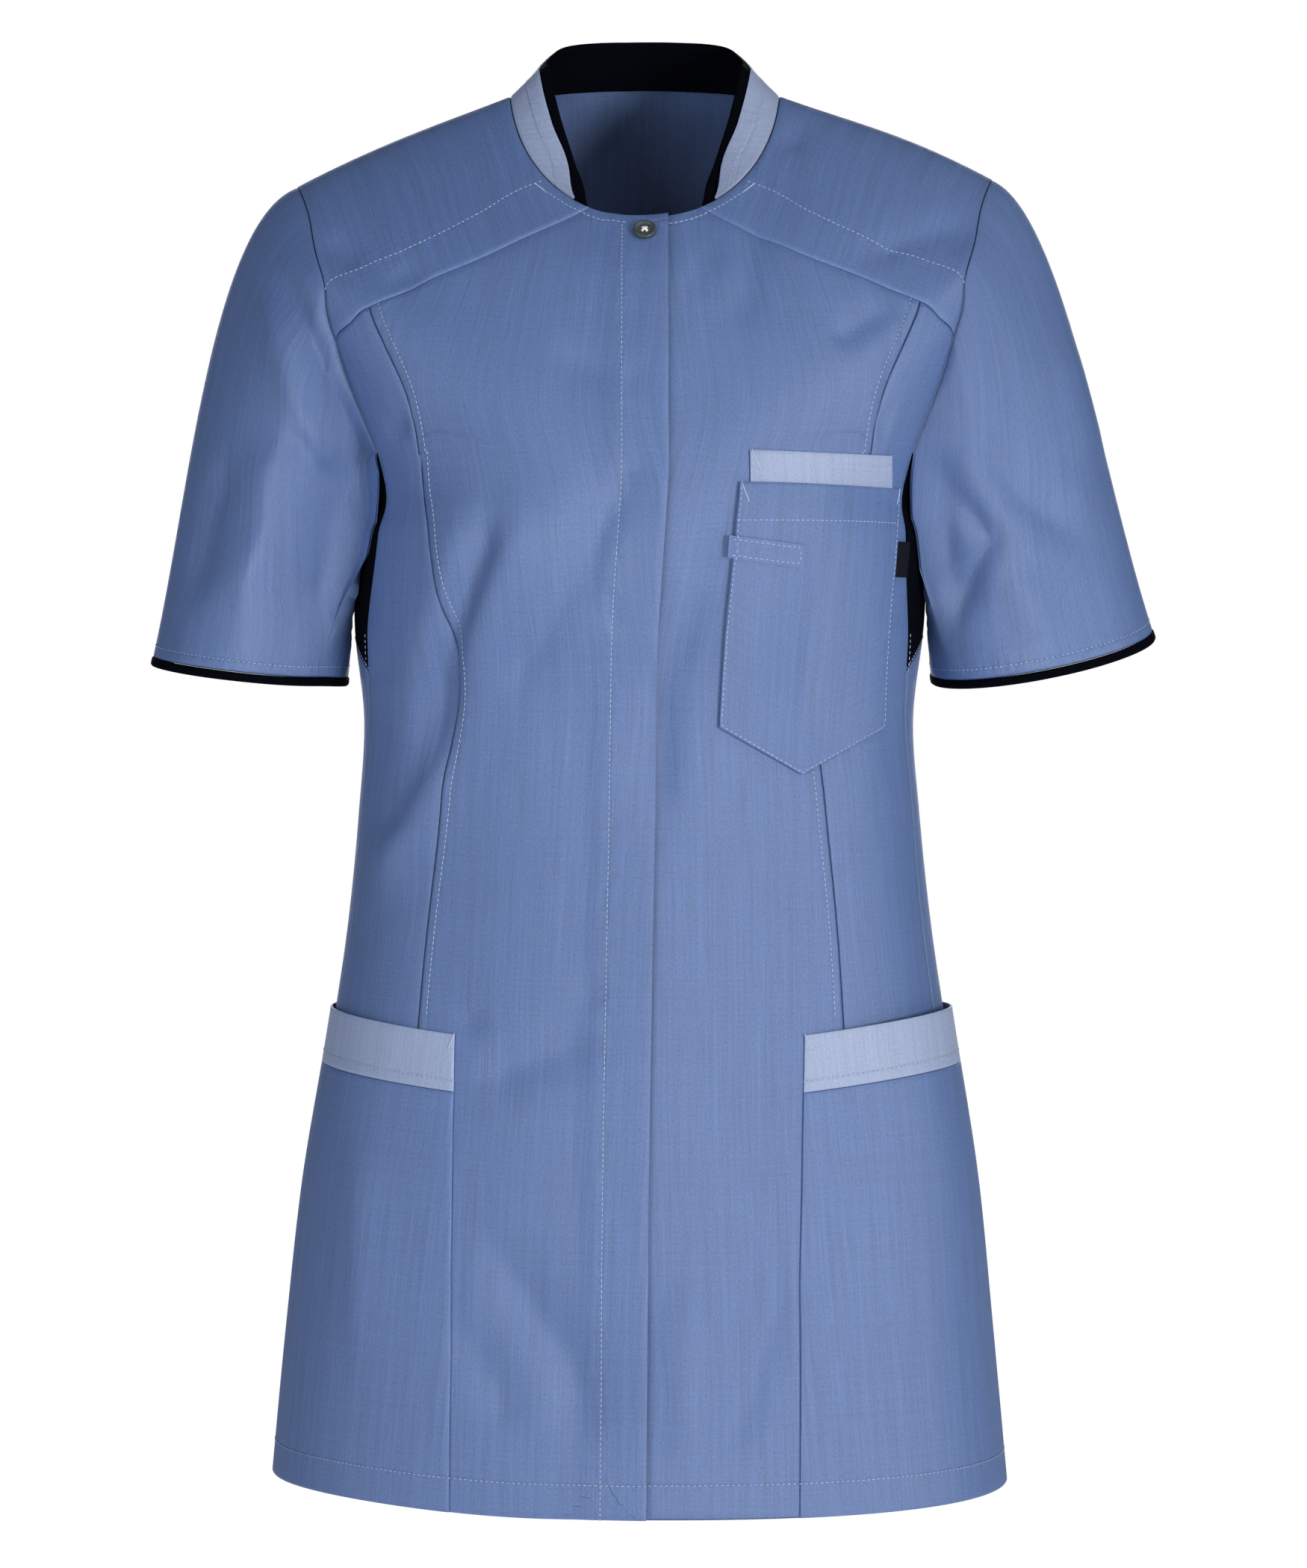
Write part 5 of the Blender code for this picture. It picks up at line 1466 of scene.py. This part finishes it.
# %% Stitch lines on the chest pocket
EDGE_INSET, MOUTH_HEM, LOOP_INSET, STRIP_RUN = 1.1, 20.0, 1.8, 17
POCKET_TACK, SIDE_TACK = ((0, 1), (3.8, 10)), ((0, 1), (-1.2, 9))  # from the line's place across
LOOP_ENDS, START_BELOW, LOOP_BELOW = (3, 4.4), 0.5, 0.4


def sew_patch(piece, corners, lines=STITCH_LINES):
    """Keeps a line on a pocket through corners given as (mm from the inner side, mm below the mouth)."""
    corners = np.array(corners, float)
    run = run_along(corners)
    steps = np.linspace(0, run[-1], max(3, int(run[-1] / 2)))
    across, below = (np.interp(steps, run, corners[:, k]) for k in (0, 1))
    s = across / np.ptp(piece.top_x)
    foot = piece.foot + piece.tip * (1 - np.abs(2 * s - 1))
    places = patch_places(piece, 1 - below / (piece.top - foot), s)
    lines.append(on_trunk(places, layer_out(piece.layer) + THREAD_LIFT))


def sew_tack(piece, x, tack):
    sew_patch(piece, [(x + across, below) for across, below in tack], TACK_LINES)


def sew_chest():
    strip, pocket, loop = PATCHES[:3]
    width, height = np.ptp(pocket.top_x), pocket.top - pocket.foot
    left, right, foot = EDGE_INSET, width - EDGE_INSET, height - EDGE_INSET
    tip = (width / 2, foot - pocket.tip)
    sew_patch(pocket, [(left, START_BELOW), (left, foot), tip, (right, foot), (right, START_BELOW)])
    sew_patch(pocket, [(left, MOUTH_HEM), (right, MOUTH_HEM)])
    sew_tack(pocket, left, POCKET_TACK)
    sew_tack(pocket, right, SIDE_TACK)
    for x in (left, np.ptp(strip.top_x) - EDGE_INSET):
        sew_patch(strip, [(x, START_BELOW), (x, STRIP_RUN)])
    sew_tack(strip, left, POCKET_TACK)
    start, across = LOOP_ENDS
    end, low = np.ptp(loop.top_x) - LOOP_INSET, loop.top - loop.foot - LOOP_INSET
    sew_patch(loop, [(start, LOOP_INSET), (end, LOOP_INSET), (end, low), (start, low)])
    sew_patch(loop, [(across, LOOP_BELOW), (across, low + LOOP_INSET - LOOP_BELOW)])


sew_chest()
print(len(STITCH_LINES), "lines of stitches and", len(TACK_LINES), "bar tacks")

# %% [markdown]
# ## The thread
#
# A lockstitch shows as a row of short pale grains that dive into the cloth at both ends. Modelling each by
# hand would take thousands of objects, so a Geometry Nodes tree lays one small six-sided grain at every step
# of the lines, turned along them. Its inputs are the pitch, the grain's length and width, and how much these
# vary. Bar tacks use the same tree with a shorter pitch. The result is made a plain mesh.

# %% The stitch tree
STITCH_INPUTS = [("Pitch", 0.0029), ("Length", 0.0022), ("Width", 0.00048), ("Vary", 0.15)]
GRAIN_BALL = {"Segments": 6, "Rings": 4, "Radius": 0.5}
SEED = 7


def make_stitch_tree():
    tree = bpy.data.node_groups.new("stitches", "GeometryNodeTree")

    def add_socket(label, kind, in_out="INPUT"):
        return tree.interface.new_socket(label, in_out=in_out, socket_type="NodeSocket" + kind)

    add_socket("Lines", "Geometry")
    for label, default in STITCH_INPUTS:
        add_socket(label, "Float").default_value = default
    add_socket("Thread", "Material")
    add_socket("Stitches", "Geometry", "OUTPUT")
    given = tree.nodes.new("NodeGroupInput").outputs
    curve = result(tree, "GeometryNodeMeshToCurve", {"Mesh": given["Lines"]})
    paced = {"Curve": curve, "Length": given["Pitch"]}
    steps = result(tree, "GeometryNodeResampleCurve", paced, mode="LENGTH")
    ball = result(tree, "GeometryNodeMeshUVSphere", GRAIN_BALL)
    tangent = result(tree, "GeometryNodeInputTangent")
    along = result(tree, "FunctionNodeAlignRotationToVector", {"Vector": tangent}, axis="Z")
    size = {"X": given["Width"], "Y": given["Width"], "Z": given["Length"]}
    size = result(tree, "ShaderNodeCombineXYZ", size)
    least = maths(tree, "SUBTRACT", 1.0, given["Vary"])
    varied = add_node(tree, "FunctionNodeRandomValue", {2: least, 3: 1.0, "Seed": SEED}, data_type="FLOAT")
    scale = result(tree, "ShaderNodeVectorMath", {0: size, "Scale": varied.outputs[1]}, operation="SCALE")
    placed = {"Points": steps, "Instance": ball, "Rotation": along, "Scale": scale}
    laid = result(tree, "GeometryNodeInstanceOnPoints", placed)
    real = result(tree, "GeometryNodeRealizeInstances", {"Geometry": laid})
    real = result(tree, "GeometryNodeSetShadeSmooth", {"Geometry": real})
    real = result(tree, "GeometryNodeSetMaterial", {"Geometry": real, "Material": given["Thread"]})
    tree.links.new(real, tree.nodes.new("NodeGroupOutput").inputs[0])
    return tree


STITCHES = make_stitch_tree()
print("stitch tree:", len(STITCHES.nodes), "nodes")

# %% Lay the thread
THREADS = {}
THREAD_ROUGHNESS, THREAD_GRAIN = 0.45, (1500.0, 1.0, 0.4, 0.8)
TACK_SIZES = {"Pitch": 0.0009, "Length": 0.0013, "Width": 0.00085}


def make_thread(name, colour):
    def looks(tree):
        return {"Base Color": speckled(tree, colour, *THREAD_GRAIN)[0], "Roughness": THREAD_ROUGHNESS}

    return new_material(name, looks)


def place_thread(name, mesh):
    THREADS[name] = put(name, mesh)
    print(name, len(mesh.polygons), "faces")


def lay_thread(name, lines, thread, sizes):
    """Runs the stitch tree along the lines and keeps the result as a plain mesh."""
    vertices, edges = [], []
    for points in lines:
        start = len(vertices)
        vertices += [tuple(point * MM) for point in points]
        edges += [(k, k + 1) for k in range(start, len(vertices) - 1)]
    paths = put(name + "_lines", new_mesh(name + "_lines", vertices, [], edges))
    modifier = paths.modifiers.new("stitches", "NODES")
    modifier.node_group = STITCHES
    sockets = {item.name: item.identifier for item in STITCHES.interface.items_tree if item.in_out == "INPUT"}
    for label, value in {"Thread": thread, **sizes}.items():
        modifier[sockets[label]] = value
    graph = bpy.context.evaluated_depsgraph_get()
    laid = bpy.data.meshes.new_from_object(paths.evaluated_get(graph))
    bpy.data.objects.remove(paths)
    place_thread(name, laid)


PALE_THREAD = make_thread("pale_thread", (0.42, 0.52, 0.70))
WHITE_THREAD = make_thread("white_thread", (0.80, 0.80, 0.78))
button_thread = add_button_thread()
button_thread.materials.append(WHITE_THREAD)
place_thread("button_thread", button_thread)
lay_thread("stitches", STITCH_LINES, PALE_THREAD, {})
lay_thread("bar_tacks", TACK_LINES, PALE_THREAD, TACK_SIZES)

# %% [markdown]
# ## Rides and cut sizes
#
# Every piece stands for its solid and rides on the one body. The table below gives, for each cloth piece, the
# flat piece that it was cut from, as far as it shows: the width and the length of the rectangle round it, its
# own area, and the piece that carries it. A curved panel can't be unrolled without ease, so the sizes are
# measured along the grain on the pieces above and rounded.

# %% Cut sizes
Cut = namedtuple("Cut", "piece width length area carried_by")
CUTS = [
    Cut("left_front", 0.187, 0.728, 0.0960, "left_yoke"),
    Cut("right_front", 0.188, 0.728, 0.0961, "right_yoke"),
    Cut("left_side_front", 0.082, 0.672, 0.0447, "left_front"),
    Cut("right_side_front", 0.083, 0.666, 0.0447, "right_front"),
    Cut("left_side_panel", 0.099, 0.469, 0.0354, "left_gusset"),
    Cut("right_side_panel", 0.098, 0.464, 0.0350, "right_gusset"),
    Cut("left_gusset", 0.132, 0.122, 0.0114, "left_sleeve"),
    Cut("right_gusset", 0.132, 0.124, 0.0114, "right_sleeve"),
    Cut("left_yoke", 0.163, 0.166, 0.0203, "back"),
    Cut("right_yoke", 0.164, 0.165, 0.0204, "back"),
    Cut("back", 0.489, 0.818, 0.2958, "left_yoke"),
    Cut("left_sleeve", 0.535, 0.274, 0.0744, "left_yoke"),
    Cut("right_sleeve", 0.528, 0.282, 0.0776, "right_yoke"),
    Cut("left_sleeve_binding", 0.380, 0.012, 0.0027, "left_sleeve"),
    Cut("right_sleeve_binding", 0.374, 0.012, 0.0027, "right_sleeve"),
    Cut("collar_band", 0.422, 0.026, 0.0083, "back"),
    Cut("collar_lining", 0.439, 0.032, 0.0108, "collar_band"),
    Cut("left_pocket", 0.223, 0.236, 0.0479, "left_side_panel"),
    Cut("right_pocket", 0.223, 0.231, 0.0466, "right_side_panel"),
    Cut("left_pocket_band", 0.187, 0.031, 0.0057, "left_pocket"),
    Cut("right_pocket_band", 0.181, 0.031, 0.0055, "right_pocket"),
    Cut("chest_pocket_inner", 0.098, 0.030, 0.0027, "left_front"),
    Cut("chest_pocket", 0.117, 0.160, 0.0157, "left_front"),
    Cut("pen_loop", 0.043, 0.013, 0.00054, "chest_pocket"),
    Cut("pocket_tab", 0.014, 0.020, 0.00027, "chest_pocket"),
]


def outer_size(piece):
    """Width and length along the grain and the area of a cloth piece's outer side, in metres."""
    mesh = piece.data
    half = len(mesh.vertices) // 2
    uv = np.zeros(len(mesh.loops) * 2, "float32")
    mesh.uv_layers["grain"].data.foreach_get("uv", uv)
    uv = uv.reshape(-1, 2)
    area = sum(face.area for face in mesh.polygons if max(face.vertices) < half)
    return np.ptp(uv[:, 0]), np.ptp(uv[:, 1]), area


for cut in CUTS:
    print(cut.piece, "measures", [round(float(size), 5) for size in outer_size(PIECES[cut.piece])])

for thread in THREADS.values():
    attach(thread, "root")
for name, piece in PIECES.items():
    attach(piece, "root")
    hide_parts(name)
print(len(PIECES), "pieces and", len(THREADS), "threads ride on root")
